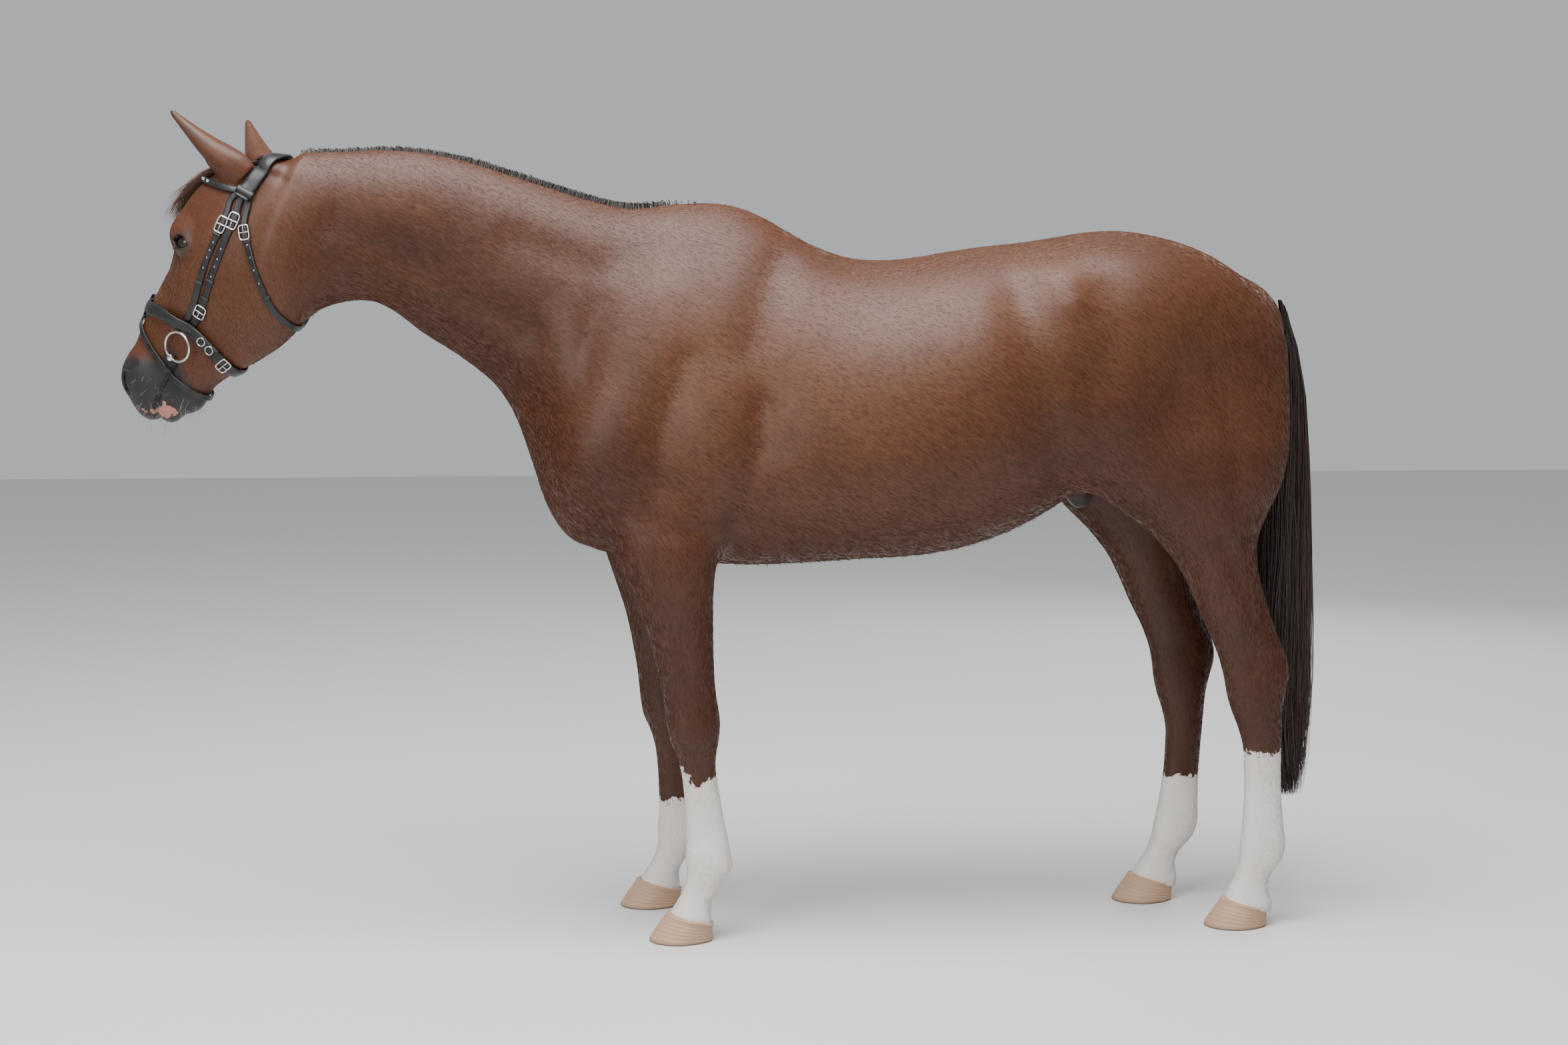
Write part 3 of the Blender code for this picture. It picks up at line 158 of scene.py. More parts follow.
def with_masses(f, p, rows):
    """Field f with an ellipsoid melted on for each row of centre, radii and fillet."""
    for centre, radii, soft in rows:
        f = join(f, ellipsoid(p, centre, radii), soft)
    return f


print("a ball of radius 1, at distance 2:", ellipsoid(np.array([(2.0, 0, 0)]), (0, 0, 0), (1, 1, 1)).round(3))

# %% [markdown]
# The trunk is a loft along x. Its outline, its half width and the height where it is widest are stations,
# and a smooth curve runs through each list. A power says how square the section is.

# %% Trunk
# Stations (x, value). x runs from the chest, at the low values, to the buttocks.
TRUNK_TOP = [
    (-0.45, 1.38), (-0.36, 1.50), (-0.28, 1.585), (-0.20, 1.622), (-0.14, 1.632), (-0.07, 1.619),
    (0.0, 1.588), (0.07, 1.553), (0.14, 1.529), (0.20, 1.522), (0.28, 1.526), (0.36, 1.539), (0.45, 1.552),
    (0.54, 1.562), (0.62, 1.574), (0.70, 1.586), (0.76, 1.588), (0.84, 1.576), (0.92, 1.552), (1.0, 1.510),
    (1.06, 1.455),
]
TRUNK_LOW = [
    (-0.45, 0.90), (-0.36, 0.865), (-0.26, 0.845), (-0.165, 0.832), (-0.07, 0.828), (0.04, 0.832),
    (0.18, 0.840), (0.31, 0.848), (0.415, 0.867), (0.524, 0.906), (0.61, 0.952), (0.70, 1.01), (0.80, 1.06),
    (0.95, 1.09), (1.06, 1.15),
]
TRUNK_HALF = [
    (-0.45, 0.16), (-0.36, 0.20), (-0.26, 0.225), (-0.15, 0.245), (-0.05, 0.262), (0.05, 0.284),
    (0.15, 0.300), (0.28, 0.312), (0.42, 0.308), (0.55, 0.287), (0.66, 0.262), (0.76, 0.248), (0.86, 0.235),
    (0.96, 0.205), (1.06, 0.12),
]
TRUNK_MIDDLE = [
    (-0.45, 1.12), (-0.2, 1.10), (0.0, 1.09), (0.28, 1.11), (0.5, 1.19), (0.7, 1.27), (1.06, 1.30),
]
TRUNK_POWER = [(-0.45, 1.8), (-0.15, 1.6), (0.05, 1.75), (0.25, 1.95), (0.6, 2.0), (1.06, 2.0)]


def trunk(p):
    """Field of the trunk."""
    return loft(
        p[:, 0], p[:, 1], p[:, 2], TRUNK_TOP, TRUNK_LOW, TRUNK_HALF, TRUNK_MIDDLE,
        power=(TRUNK_POWER, 2.15), cap=0.09,
    )


print("trunk, widest", 2 * max(half for _, half in TRUNK_HALF))

# %% [markdown]
# The neck is a loft too, from the poll into the chest, so that trunk and neck melt into each other.

# %% Neck
NECK_CREST = [
    (-1.20, 1.735), (-1.13, 1.752), (-1.06, 1.757), (-0.98, 1.760),
    (-0.90, 1.764), (-0.82, 1.760), (-0.72, 1.742),
    (-0.62, 1.712), (-0.52, 1.680), (-0.42, 1.650), (-0.32, 1.628),
    (-0.22, 1.598), (-0.10, 1.545), (0.02, 1.47),
]
NECK_THROAT = [
    (-1.18, 1.43), (-1.08, 1.412), (-1.02, 1.418), (-0.967, 1.427),
    (-0.918, 1.424), (-0.88, 1.406), (-0.811, 1.354),
    (-0.742, 1.310), (-0.672, 1.257), (-0.62, 1.205), (-0.583, 1.155),
    (-0.550, 1.09), (-0.524, 1.02), (-0.48, 0.96),
    (-0.40, 0.93),
]
NECK_START, NECK_END = np.array((-1.10, 0, 1.60)), np.array((-0.163, 0, 1.249))
NECK_ALONG = unit(NECK_END - NECK_START)
NECK_UP = np.array((-NECK_ALONG[2], 0, NECK_ALONG[0]))
NECK_HALF = [
    (-0.1, 0.078), (0.1, 0.082), (0.25, 0.086), (0.4, 0.096), (0.55, 0.118), (0.7, 0.142),
    (0.85, 0.150), (1.0, 0.11),
]
NECK_CENTRE = [(-0.1, -0.004), (0.1, -0.008), (0.3, -0.004), (0.6, 0.0), (1.0, 0.0)]


def along_neck(outline):
    """The (x, z) outline as stations along the neck."""
    place = np.array([(x, 0, z) for x, z in outline]) - NECK_START
    return list(zip(place @ NECK_ALONG, place @ NECK_UP))


def neck(p):
    """Field of the neck."""
    w = p - NECK_START
    crest, throat = along_neck(NECK_CREST), along_neck(NECK_THROAT)
    return loft(
        w @ NECK_ALONG, p[:, 1], w @ NECK_UP, crest, throat, NECK_HALF,
        centre=NECK_CENTRE, power=(1.75, 2.2), cap=(0.04, 0.22),
    )


print("neck, long", np.linalg.norm(NECK_END - NECK_START).round(3))

# %% [markdown]
# Each leg is a loft from the body down to the coronet. The two of a pair share their stations, and a
# stride moves the far one along x.

# %% Legs
# Each row: height, x of the front outline, x of the rear outline, half width, distance from the middle plane.
FORE = [
    (1.02, -0.44, -0.10, 0.07, 0.15), (0.93, -0.405, -0.135, 0.08, 0.165),
    (0.86, -0.385, -0.160, 0.082, 0.170),
    (0.78, -0.353, -0.170, 0.075, 0.172), (0.70, -0.323, -0.171, 0.064, 0.172),
    (0.62, -0.301, -0.170, 0.055, 0.172),
    (0.56, -0.288, -0.166, 0.050, 0.171), (0.52, -0.282, -0.160, 0.052, 0.170),
    (0.49, -0.278, -0.157, 0.055, 0.170),
    (0.455, -0.271, -0.160, 0.054, 0.169), (0.42, -0.256, -0.166, 0.044, 0.168),
    (0.39, -0.247, -0.167, 0.036, 0.167),
    (0.34, -0.240, -0.160, 0.031, 0.166), (0.28, -0.236, -0.150, 0.030, 0.165),
    (0.23, -0.234, -0.140, 0.034, 0.165),
    (0.195, -0.236, -0.134, 0.040, 0.165), (0.165, -0.234, -0.130, 0.039, 0.165),
    (0.14, -0.234, -0.145, 0.035, 0.165),
    (0.11, -0.243, -0.165, 0.032, 0.165), (0.085, -0.257, -0.178, 0.036, 0.165),
    (0.055, -0.276, -0.177, 0.046, 0.165),
]
HIND = [
    (1.30, 0.72, 1.10, 0.07, 0.12), (1.16, 0.70, 1.122, 0.10, 0.14), (1.09, 0.70, 1.122, 0.115, 0.15),
    (1.02, 0.71, 1.108, 0.115, 0.155), (0.95, 0.765, 1.078, 0.105, 0.155), (0.89, 0.83, 1.06, 0.09, 0.155),
    (0.83, 0.88, 1.062, 0.078, 0.152), (0.77, 0.912, 1.078, 0.066, 0.150),
    (0.71, 0.938, 1.098, 0.056, 0.148),
    (0.66, 0.962, 1.118, 0.048, 0.146), (0.62, 0.978, 1.136, 0.044, 0.145),
    (0.58, 0.990, 1.142, 0.045, 0.144),
    (0.54, 0.998, 1.135, 0.046, 0.143), (0.50, 1.010, 1.129, 0.043, 0.142),
    (0.46, 1.026, 1.128, 0.038, 0.141),
    (0.42, 1.038, 1.128, 0.034, 0.140), (0.36, 1.043, 1.128, 0.031, 0.139),
    (0.29, 1.044, 1.131, 0.030, 0.138),
    (0.23, 1.041, 1.137, 0.036, 0.137), (0.18, 1.037, 1.141, 0.039, 0.136),
    (0.155, 1.036, 1.135, 0.038, 0.136),
    (0.12, 1.028, 1.110, 0.033, 0.136), (0.09, 1.014, 1.102, 0.035, 0.136),
    (0.055, 0.998, 1.112, 0.045, 0.136),
]
# How far the right leg stands ahead of the left one, as (height, x).
STRIDE_FORE = [
    (0, -0.055), (0.06, -0.055), (0.2, -0.048), (0.35, -0.045), (0.5, -0.045), (0.7, -0.035),
    (0.85, -0.025), (1.0, 0),
]
STRIDE_HIND = [
    (0, -0.165), (0.15, -0.143), (0.3, -0.125), (0.5, -0.108), (0.6, -0.10), (0.8, -0.10),
    (0.95, -0.09), (1.1, -0.05), (1.3, 0),
]
LEVEL = [(0, 0), (2, 0)]


def leg(p, rows, side, stride, out=0.0):
    """side is -1 for the left leg and +1 for the right one."""
    z = p[:, 2]
    height, front, rear, half, apart = np.array(rows)[::-1].T
    stations = [list(zip(height, column)) for column in (rear, front, half)]
    x = p[:, 0] - through(stride, z)
    middle = list(zip(height, apart))
    return loft(z, p[:, 1] * side - out, x, *stations, centre=middle, power=(2.2, 2.3), cap=0.13)


print("sections of a foreleg and a hind leg", len(FORE), len(HIND))

# %% [markdown]
# The head has axes of its own: along the face, out to the side, and off the forehead. It is drawn there,
# straight, and turned into place, and a left and a right side come from the size of the side coordinate.

# %% Head
# Head coordinates: s down the face from the eyes, y to the horse's left, d out of the face.
HEAD_TURN, HEAD_TILT = np.radians(25), np.radians(24.5)
HEAD_AHEAD = np.array((-np.cos(HEAD_TURN), np.sin(HEAD_TURN), 0))
HEAD_DOWN = np.sin(HEAD_TILT) * HEAD_AHEAD - np.cos(HEAD_TILT) * np.array((0, 0, 1))
HEAD_LEFT = np.array((-np.sin(HEAD_TURN), -np.cos(HEAD_TURN), 0))
HEAD_OUT = np.cos(HEAD_TILT) * HEAD_AHEAD + np.sin(HEAD_TILT) * np.array((0, 0, 1))
HEAD_AXES = np.stack([HEAD_DOWN, HEAD_LEFT, HEAD_OUT])
HEAD_ORIGIN = np.array((-1.3005, 0.070, 1.557))


def in_head(p):
    """Places of the drawing in the head's coordinates (s, y, d)."""
    return (p - HEAD_ORIGIN) @ HEAD_AXES.T


def from_head(q):
    """Places in the head's coordinates, back in the drawing."""
    return HEAD_ORIGIN + np.atleast_2d(q) @ HEAD_AXES


FACE = [
    (-0.222, -0.075), (-0.205, -0.038), (-0.175, -0.002), (-0.13, 0.028),
    (-0.09, 0.045), (-0.045, 0.055), (0, 0.053),
    (0.05, 0.046), (0.10, 0.046), (0.15, 0.052), (0.20, 0.060),
    (0.25, 0.065), (0.30, 0.062), (0.33, 0.054), (0.35, 0.044),
]
FACE_BACK = [
    (-0.222, -0.14), (-0.2, -0.155), (-0.1, -0.18), (0, -0.18), (0.1, -0.15), (0.2, -0.12),
    (0.3, -0.09), (0.35, -0.075),
]
FACE_HALF = [
    (-0.222, 0.045), (-0.2, 0.060), (-0.15, 0.078), (-0.1, 0.087),
    (-0.05, 0.091), (0, 0.088), (0.05, 0.078),
    (0.1, 0.068), (0.15, 0.060), (0.2, 0.053), (0.25, 0.048), (0.3, 0.047), (0.35, 0.044),
]
FACE_MIDDLE = [
    (-0.222, -0.105), (-0.2, -0.09), (-0.1, -0.05), (0, -0.035), (0.1, -0.035), (0.2, -0.03),
    (0.35, -0.02),
]
JAW = [
    (-0.12, -0.17), (-0.09, -0.215), (-0.05, -0.252), (-0.01, -0.278),
    (0.03, -0.290), (0.07, -0.290), (0.11, -0.277),
    (0.15, -0.255), (0.20, -0.217), (0.24, -0.182), (0.28, -0.154), (0.31, -0.140),
]
JAW_ROOT = [(-0.12, -0.05), (0.31, -0.05)]
JAW_HALF = [
    (-0.12, 0.045), (-0.05, 0.053), (0.0, 0.058), (0.06, 0.060), (0.12, 0.055), (0.2, 0.044),
    (0.31, 0.032),
]
MOUTH = [(0.268, -0.064), (0.30, -0.055), (0.34, -0.049), (0.38, -0.048), (0.43, -0.055)]
# Muscles and bones of the head that show: start and end in (s, y, d), width, thickness, fillet.
HEAD_SPINDLES = [
    ((-0.13, 0.071, -0.070), (0.11, 0.066, -0.046), 0.032, 0.026, 0.05),  # cheek arch
    ((-0.02, 0.074, -0.045), (0.150, 0.050, -0.038), 0.017, 0.017, 0.04),  # facial crest
    ((-0.16, 0.050, -0.02), (-0.04, 0.072, 0.015), 0.020, 0.018, 0.05),  # rim of the temple
    ((0.08, 0.0, 0.040), (0.34, 0.0, 0.030), 0.020, 0.024, 0.03),  # nose bone
]
# Rounded masses: centre, radii, fillet.
HEAD_MASSES = [
    ((0.005, 0.042, -0.160), (0.125, 0.042, 0.112), 0.06),  # cheek muscle
    ((-0.016, 0.074, 0.008), (0.036, 0.030, 0.032), 0.03),  # brow
    ((0.354, 0, 0.000), (0.060, 0.044, 0.053), 0.04),  # nose
    ((0.382, 0, -0.024), (0.044, 0.042, 0.038), 0.02),  # upper lip
    ((0.325, 0.030, 0.030), (0.052, 0.026, 0.034), 0.025),  # nostril wing
    ((0.324, 0, -0.100), (0.040, 0.034, 0.033), 0.03),  # chin
    ((0.370, 0, -0.074), (0.040, 0.034, 0.028), 0.02),  # lower lip
]
EYE_RADIUS = 0.0235
EYE_PLACE = (-0.004, 0.0822, -0.0112)
EYE_LOOK = unit((0.05, 0.93, 0.36))
EYE_LONG = unit(np.array((0.10, -0.36, 0.93)) - EYE_LOOK * (EYE_LOOK @ (0.10, -0.36, 0.93)))
EYE_HIGH = np.cross(EYE_LONG, EYE_LOOK)
LID_THICK = 0.0042
LID_HALF_LONG, LID_HALF_HIGH = 0.0212, 0.0132
NOSTRIL = [(0.309, 0.060, 0.030), (0.330, 0.052, 0.046), (0.356, 0.041, 0.040), (0.372, 0.036, 0.026)]
NOSTRIL_WIDE = 0.0085


def skull(q):
    """The head without its openings. q is in head coordinates."""
    s, y, d = q.T
    f = loft(s, y, d, FACE, FACE_BACK, FACE_HALF, FACE_MIDDLE, power=(2.35, 2.3), cap=0.03)
    f = join(f, loft(s, y, d, JAW_ROOT, JAW, JAW_HALF, power=(2.2, 2.1), cap=0.06), 0.04)
    return with_masses(with_spindles(f, folded(q), HEAD_SPINDLES), folded(q), HEAD_MASSES)


def eye_opening(m):
    """Almond between the lids, as a prism along the way the eye looks."""
    w = m - EYE_PLACE
    along, up, out = w @ EYE_LONG, w @ EYE_HIGH, w @ EYE_LOOK
    edge = LID_HALF_HIGH * (1 - np.minimum((along / LID_HALF_LONG) ** 2, 4.0))
    low = np.where(up < 0, 0.85, 1.0)
    return np.maximum(np.abs(up) / low - edge, 0.010 - out) * 0.6


def head(p, socket=True):
    """The head; socket=False leaves the hollow for the eyeball to a later cut."""
    q = in_head(p)
    m = folded(q)
    f = skull(q)
    f = f + 0.007 * np.exp(-((from_path(q[:, [0, 2]], MOUTH) / 0.0055) ** 2))
    ball = np.linalg.norm(m - EYE_PLACE, axis=1) - EYE_RADIUS
    f = join(f, ball - LID_THICK, 0.012)
    f = carve(f, eye_opening(m), 0.003)
    if socket:
        f = carve(f, ball - 0.0003, 0.001)
    return carve(f, from_path(m, NOSTRIL) - NOSTRIL_WIDE, 0.008)


print("face, long", round(FACE[-1][0] - FACE[0][0], 3))

# %% [markdown]
# An ear is a cone that opens to the front as a cup, with axes of its own at the poll.

# %% Ears
EAR_LONG = 0.187
EAR_WIDE = [
    (-0.03, 0.026), (0, 0.032), (0.03, 0.034), (0.06, 0.031), (0.09, 0.026), (0.12, 0.020), (0.15, 0.014),
    (0.175, 0.009), (0.19, 0.007),
]
EAR_DEEP = [
    (-0.03, 0.036), (0, 0.040), (0.03, 0.036), (0.06, 0.029), (0.09, 0.023), (0.12, 0.017), (0.15, 0.012),
    (0.175, 0.0085), (0.19, 0.0065),
]
# base, tip and the way the hollow faces, in head coordinates
EARS = {
    "left": ((-0.198, 0.060, -0.040), (-0.256, 0.100, 0.131), (0.93, -0.10, 0.33)),
    "right": ((-0.198, -0.062, -0.042), (-0.262, -0.160, 0.096), (0.60, -0.65, 0.45)),
}


def ear_frame(name):
    """The ear's base, and unit ways along it, out of its cup and across."""
    base, tip, look = (np.array(v, float) for v in EARS[name])
    along = unit(tip - base)
    face = unit(look - along * (along @ look))
    return base, along, face, np.cross(along, face)


def ear(p, name, wall=0.0035, floor=0.03):
    """Rolled leaf: its hollow starts at the floor and closes again before the tip."""
    base, along, face, across = ear_frame(name)
    w = in_head(p) - base
    s, u = w @ along, w @ across
    t = np.clip(s, EAR_WIDE[0][0], EAR_LONG)
    v = w @ face - 0.003 * np.sin(np.pi * np.clip(s / EAR_LONG, 0, 1))
    half, deep, over = through(EAR_WIDE, t), through(EAR_DEEP, t), np.abs(s - t)
    f = round_section(u, v, half, deep, deep, (2.0, 2.0), over, 0.007)
    closed = 0.04 * (np.clip((floor - s) / 0.03, 0, 1) + np.clip((s - 0.155) / 0.02, 0, 1))
    wall = np.minimum(wall, half * 0.45)
    low = deep * 1.5 - wall
    hole = round_section(u, v - 0.5 * deep, half - wall, deep * 1.2, low, (2.0, 2.0), over, 0.01)
    return carve(f, hole + closed, 0.003)


print("ear, long", EAR_LONG)

# %% [markdown]
# Muscles are spindles joined with a wide fillet. Furrows and ridges are soft valleys along short paths,
# given as seen from the side.

# %% Muscles, and the whole body
# start, end, width, thickness, fillet
MUSCLES = [
    ((-0.44, 0.145, 1.03), (-0.12, 0.060, 1.43), 0.125, 0.066, 0.10),  # shoulder blade
    ((-0.11, 0.155, 1.30), (-0.20, 0.175, 0.95), 0.10, 0.078, 0.06),  # triceps
    ((0.55, 0.13, 1.43), (1.07, 0.085, 1.36), 0.135, 0.120, 0.10),  # rump
    ((0.64, 0.14, 1.40), (0.80, 0.165, 0.97), 0.13, 0.105, 0.09),  # thigh, front
    ((1.00, 0.095, 1.44), (0.985, 0.145, 0.93), 0.130, 0.103, 0.09),  # thigh, rear
]
BREAST = [
    ((-0.395, 0.135, 1.085), (0.108, 0.090, 0.130), 0.08),  # point of the shoulder
    ((-0.402, 0.072, 0.990), (0.090, 0.078, 0.105), 0.06),  # breast muscle
]
DOCK = ((1.00, 0, 1.47), (1.135, 0, 1.36), 0.040, 0.040, 0.06)
SHEATH = ((0.683, 0, 0.995), (0.036, 0.032, 0.047), 0.020)
# Ridges (+) and furrows (-) of the coat over muscle and bone: path in (x, z), width, height.
RELIEF = [
    ([(-0.42, 1.42), (-0.46, 1.30), (-0.50, 1.12)], 0.035, -0.005),  # before the shoulder blade
    ([(-0.03, 1.50), (-0.10, 1.30), (-0.05, 1.12)], 0.050, -0.009),  # behind the shoulder blade
    ([(-0.24, 1.30), (-0.30, 1.14), (-0.31, 1.02)], 0.030, -0.006),  # between arm and triceps
    ([(-0.07, 1.20), (-0.10, 1.05), (-0.13, 0.95)], 0.030, -0.009),  # behind the triceps
    ([(-0.36, 0.98), (-0.28, 0.93), (-0.20, 0.92)], 0.024, -0.006),  # elbow fold
    ([(-1.00, 1.60), (-0.86, 1.53), (-0.72, 1.44), (-0.58, 1.36)], 0.045, -0.010),  # along the neck
    # jugular groove
    ([(-0.96, 1.470), (-0.88, 1.450), (-0.78, 1.39), (-0.66, 1.30), (-0.56, 1.20)], 0.020, -0.007),
    ([(-0.60, 1.56), (-0.42, 1.50), (-0.28, 1.54)], 0.050, -0.008),  # before the withers
    ([(0.69, 1.44), (0.70, 1.36), (0.67, 1.26)], 0.050, -0.008),  # behind the point of the hip
    ([(0.50, 1.42), (0.52, 1.28), (0.55, 1.14)], 0.060, -0.011),  # hollow of the flank
    ([(0.60, 1.47), (0.61, 1.43)], 0.040, 0.008),  # point of the hip
    ([(0.60, 1.20), (0.64, 1.10), (0.66, 1.03)], 0.030, 0.006),  # flank fold
    ([(0.94, 1.28), (0.98, 1.14), (0.985, 0.98)], 0.030, -0.006),  # furrow in the rear of the thigh
    ([(0.80, 1.00), (0.88, 0.90), (0.95, 0.80)], 0.025, 0.004),  # front of the gaskin
    ([(0.96, 0.90), (1.01, 0.80), (1.05, 0.70)], 0.018, -0.005),  # furrow before the hamstring
    ([(-0.30, 0.86), (-0.26, 0.72), (-0.235, 0.60)], 0.018, -0.004),  # between the forearm's muscles
    ([(-0.12, 0.96), (0.05, 0.90), (0.30, 0.905)], 0.022, -0.004),  # girth line
]


def legs(p):
    """Field of the four legs; each right leg stands ahead by its stride."""
    f = leg(p, FORE, -1, LEVEL)
    f = np.minimum(f, leg(p, FORE, 1, STRIDE_FORE, 0.015))
    f = np.minimum(f, leg(p, HIND, -1, LEVEL))
    return np.minimum(f, leg(p, HIND, 1, STRIDE_HIND))


def body(p, socket=True):
    """All of the horse but its hooves, eyes, ears and hair."""
    m = folded(p)
    f = with_masses(join(trunk(p), neck(p), 0.16), m, BREAST)
    f = with_spindles(f, m, MUSCLES)
    f = with_masses(with_spindles(f, p, [DOCK]), p, [SHEATH])
    f = join(f, legs(p), 0.06)
    flank = np.clip(m[:, 1] / 0.05, 0, 1)
    for path, wide, high in RELIEF:
        f = f - flank * high * np.exp(-((from_path(p[:, [0, 2]], path) / wide) ** 2))
    return join(f, head(p, socket), 0.06)


def slope_of(field, p, reach=5e-4):
    """Slope of a field, from its values at the corners of a tiny tetrahedron."""
    corners = np.array([(1, -1, -1), (-1, -1, 1), (-1, 1, -1), (1, 1, 1)], float)
    return sum(k * field(p + reach * k)[:, None] for k in corners) / (4 * reach)


def drawn_to(field, p, level=0.0, rounds=3):
    """Moves points along the slope onto the surface where the field equals level."""
    for _ in range(rounds):
        slope = slope_of(field, p)
        steep = np.maximum((slope * slope).sum(1), 0.05)
        p = p - slope * ((field(p) - level) / steep)[:, None]
    return p


def coarse_body(p):
    """The body with whole eyes: a field without the thin hollows of the sockets."""
    return body(p, socket=False)


EYES = {"left": 1, "right": -1}
SHIFT = np.mean(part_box("eye_left"), axis=0) - from_head(EYE_PLACE)[0]
print("from the drawing's origin to the frame's", SHIFT.round(4))

# %% [markdown]
# Every piece goes through one function: it puts arrays into a mesh, moves them into the frame, adds the
# values that the materials read, rides the piece on the body and hides the solids that it stands for.


# %% Making a piece
def ease(low, high, value):
    """0 below low, 1 above high, and a smooth S between them."""
    t = np.clip((value - low) / (high - low), 0, 1)
    return t * t * (3 - 2 * t)


def turned_out(points, faces):
    """The faces, turned over if the volume that they enclose together comes out below zero."""
    corners = [points[part[:, [0, i, i + 1]]] for part in faces for i in range(1, part.shape[1] - 1)]
    volume = sum((c[:, 0] * np.cross(c[:, 1], c[:, 2])).sum() for c in corners)
    return faces if volume > 0 else [part[:, ::-1] for part in faces]


def placed(name, data):
    """New object in the scene."""
    made = bpy.data.objects.new(name, data)
    bpy.context.scene.collection.objects.link(made)
    return made


def piece(name, points, faces, finish, slot, stands_for=(), values=None, uv=None, uv_name="OFBake"):
    """Mesh object from points in the drawing's place and faces of three or four corners."""
    mesh = bpy.data.meshes.new(name)
    faces = turned_out(points, [np.asarray(part) for part in (faces if isinstance(faces, list) else [faces])])
    rows = [row for part in faces for row in part.tolist()]
    mesh.from_pydata((np.asarray(points) + SHIFT).tolist(), [], rows)
    for key, value in (values or {}).items():
        numbers = mesh.attributes.new(key, "FLOAT", "POINT").data
        numbers.foreach_set("value", np.ascontiguousarray(value, float))
    if uv is not None:
        corner = np.concatenate([part.ravel() for part in faces])
        mesh.uv_layers.new(name=uv_name).data.foreach_set("uv", np.asarray(uv, float)[corner].ravel())
    mesh.materials.append(finish)
    mesh.shade_smooth()
    made = placed(name, mesh)
    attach(made, "root")
    if stands_for:
        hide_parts(*stands_for)
    print(f"{name}: {sum(len(p) * (p.shape[1] - 2) for p in faces)} triangles")
    return made


def tube_faces(rings, around, closed=False):
    """Quads between rings of points that follow each other; closed joins the last ring to the first."""
    i, j = np.meshgrid(np.arange(rings if closed else rings - 1), np.arange(around), indexing="ij")
    after, beside = (i + 1) % rings, (j + 1) % around
    quads = np.stack([i * around + j, after * around + j, after * around + beside, i * around + beside], -1)
    return quads.reshape(-1, 4)


def fan(ring):
    """Triangles that close a ring of points whose last point is its centre."""
    rim, centre = np.asarray(ring[:-1]), ring[-1]
    return np.stack([rim, np.roll(rim, -1), np.full(len(rim), centre)], 1)


# %% [markdown]
# ## Finishes
# A horse's coat is short hair that lies flat, so its colour breaks into fine streaks along the hair, with
# broad patches where the coat turns. The colours here are chestnut over most of the body, white on the
# lower legs, and dark grey skin at the muzzle. The markings are numbers on the mesh, so that skin and
# hair share them: for instance, how far a place is above the edge of a white sock. The material turns
# that into a colour with a ragged edge. Streaks and grain are node groups, used by several finishes.


# %% Helpers for nodes
def node(tree, kind, links=None, **settings):
    """New node; links maps an input's name or number to a value or to another node's output."""
    made = tree.nodes.new(kind)
    for key, value in settings.items():
        setattr(made, key, value)
    for key, value in (links or {}).items():
        if isinstance(value, bpy.types.NodeSocket):
            tree.links.new(value, made.inputs[key])
        else:
            made.inputs[key].default_value = value
    return made


def object_place(tree):
    """Where a point is in its object's own space, in metres."""
    return node(tree, "ShaderNodeTexCoord").outputs["Object"]


def math(tree, operation, *values, clamp=False):
    """Result of a math node on numbers or sockets."""
    made = node(tree, "ShaderNodeMath", dict(enumerate(values)), operation=operation, use_clamp=clamp)
    return made.outputs[0]


def blend(tree, amount, first, second):
    """Colour mixed from two colours or sockets."""
    sockets = {"Factor": amount, 6: first, 7: second}
    return node(tree, "ShaderNodeMix", sockets, data_type="RGBA").outputs[2]


def attribute(tree, name):
    """The named number that comes with the mesh."""
    return node(tree, "ShaderNodeAttribute", attribute_name=name).outputs["Fac"]


def noise(tree, vector, scale, detail=3.0, roughness=0.55):
    """Cloudy noise between 0 and 1."""
    links = {"Vector": vector, "Scale": scale, "Detail": detail, "Roughness": roughness}
    return node(tree, "ShaderNodeTexNoise", links).outputs["Fac"]


def new_group(name, inputs, outputs):
    """Shader node group with float or vector inputs and outputs: its tree, input node and output node."""
    tree = bpy.data.node_groups.new(name, "ShaderNodeTree")
    for key, value in inputs.items():
        kind = "NodeSocketVector" if value is None else "NodeSocketFloat"
        made = tree.interface.new_socket(key, in_out="INPUT", socket_type=kind)
        if value is not None:
            made.default_value = value
    for key in outputs:
        tree.interface.new_socket(key, in_out="OUTPUT", socket_type="NodeSocketFloat")
    return tree, tree.nodes.new("NodeGroupInput"), tree.nodes.new("NodeGroupOutput")


def new_finish(name, **constants):
    """Material with a Principled shader; the constants are set on the shader's own sockets."""
    finish = bpy.data.materials.new(name)
    finish.use_nodes = True
    shader = finish.node_tree.nodes["Principled BSDF"]
    for key, value in constants.items():
        shader.inputs[key.replace("_", " ").title().replace("Ior", "IOR")].default_value = value
    return finish, finish.node_tree, shader


def bump(tree, shader, height, strength, distance):
    """Tilts the shader's normal by a height."""
    links = {"Height": height, "Strength": strength, "Distance": distance}
    tree.links.new(node(tree, "ShaderNodeBump", links).outputs[0], shader.inputs["Normal"])


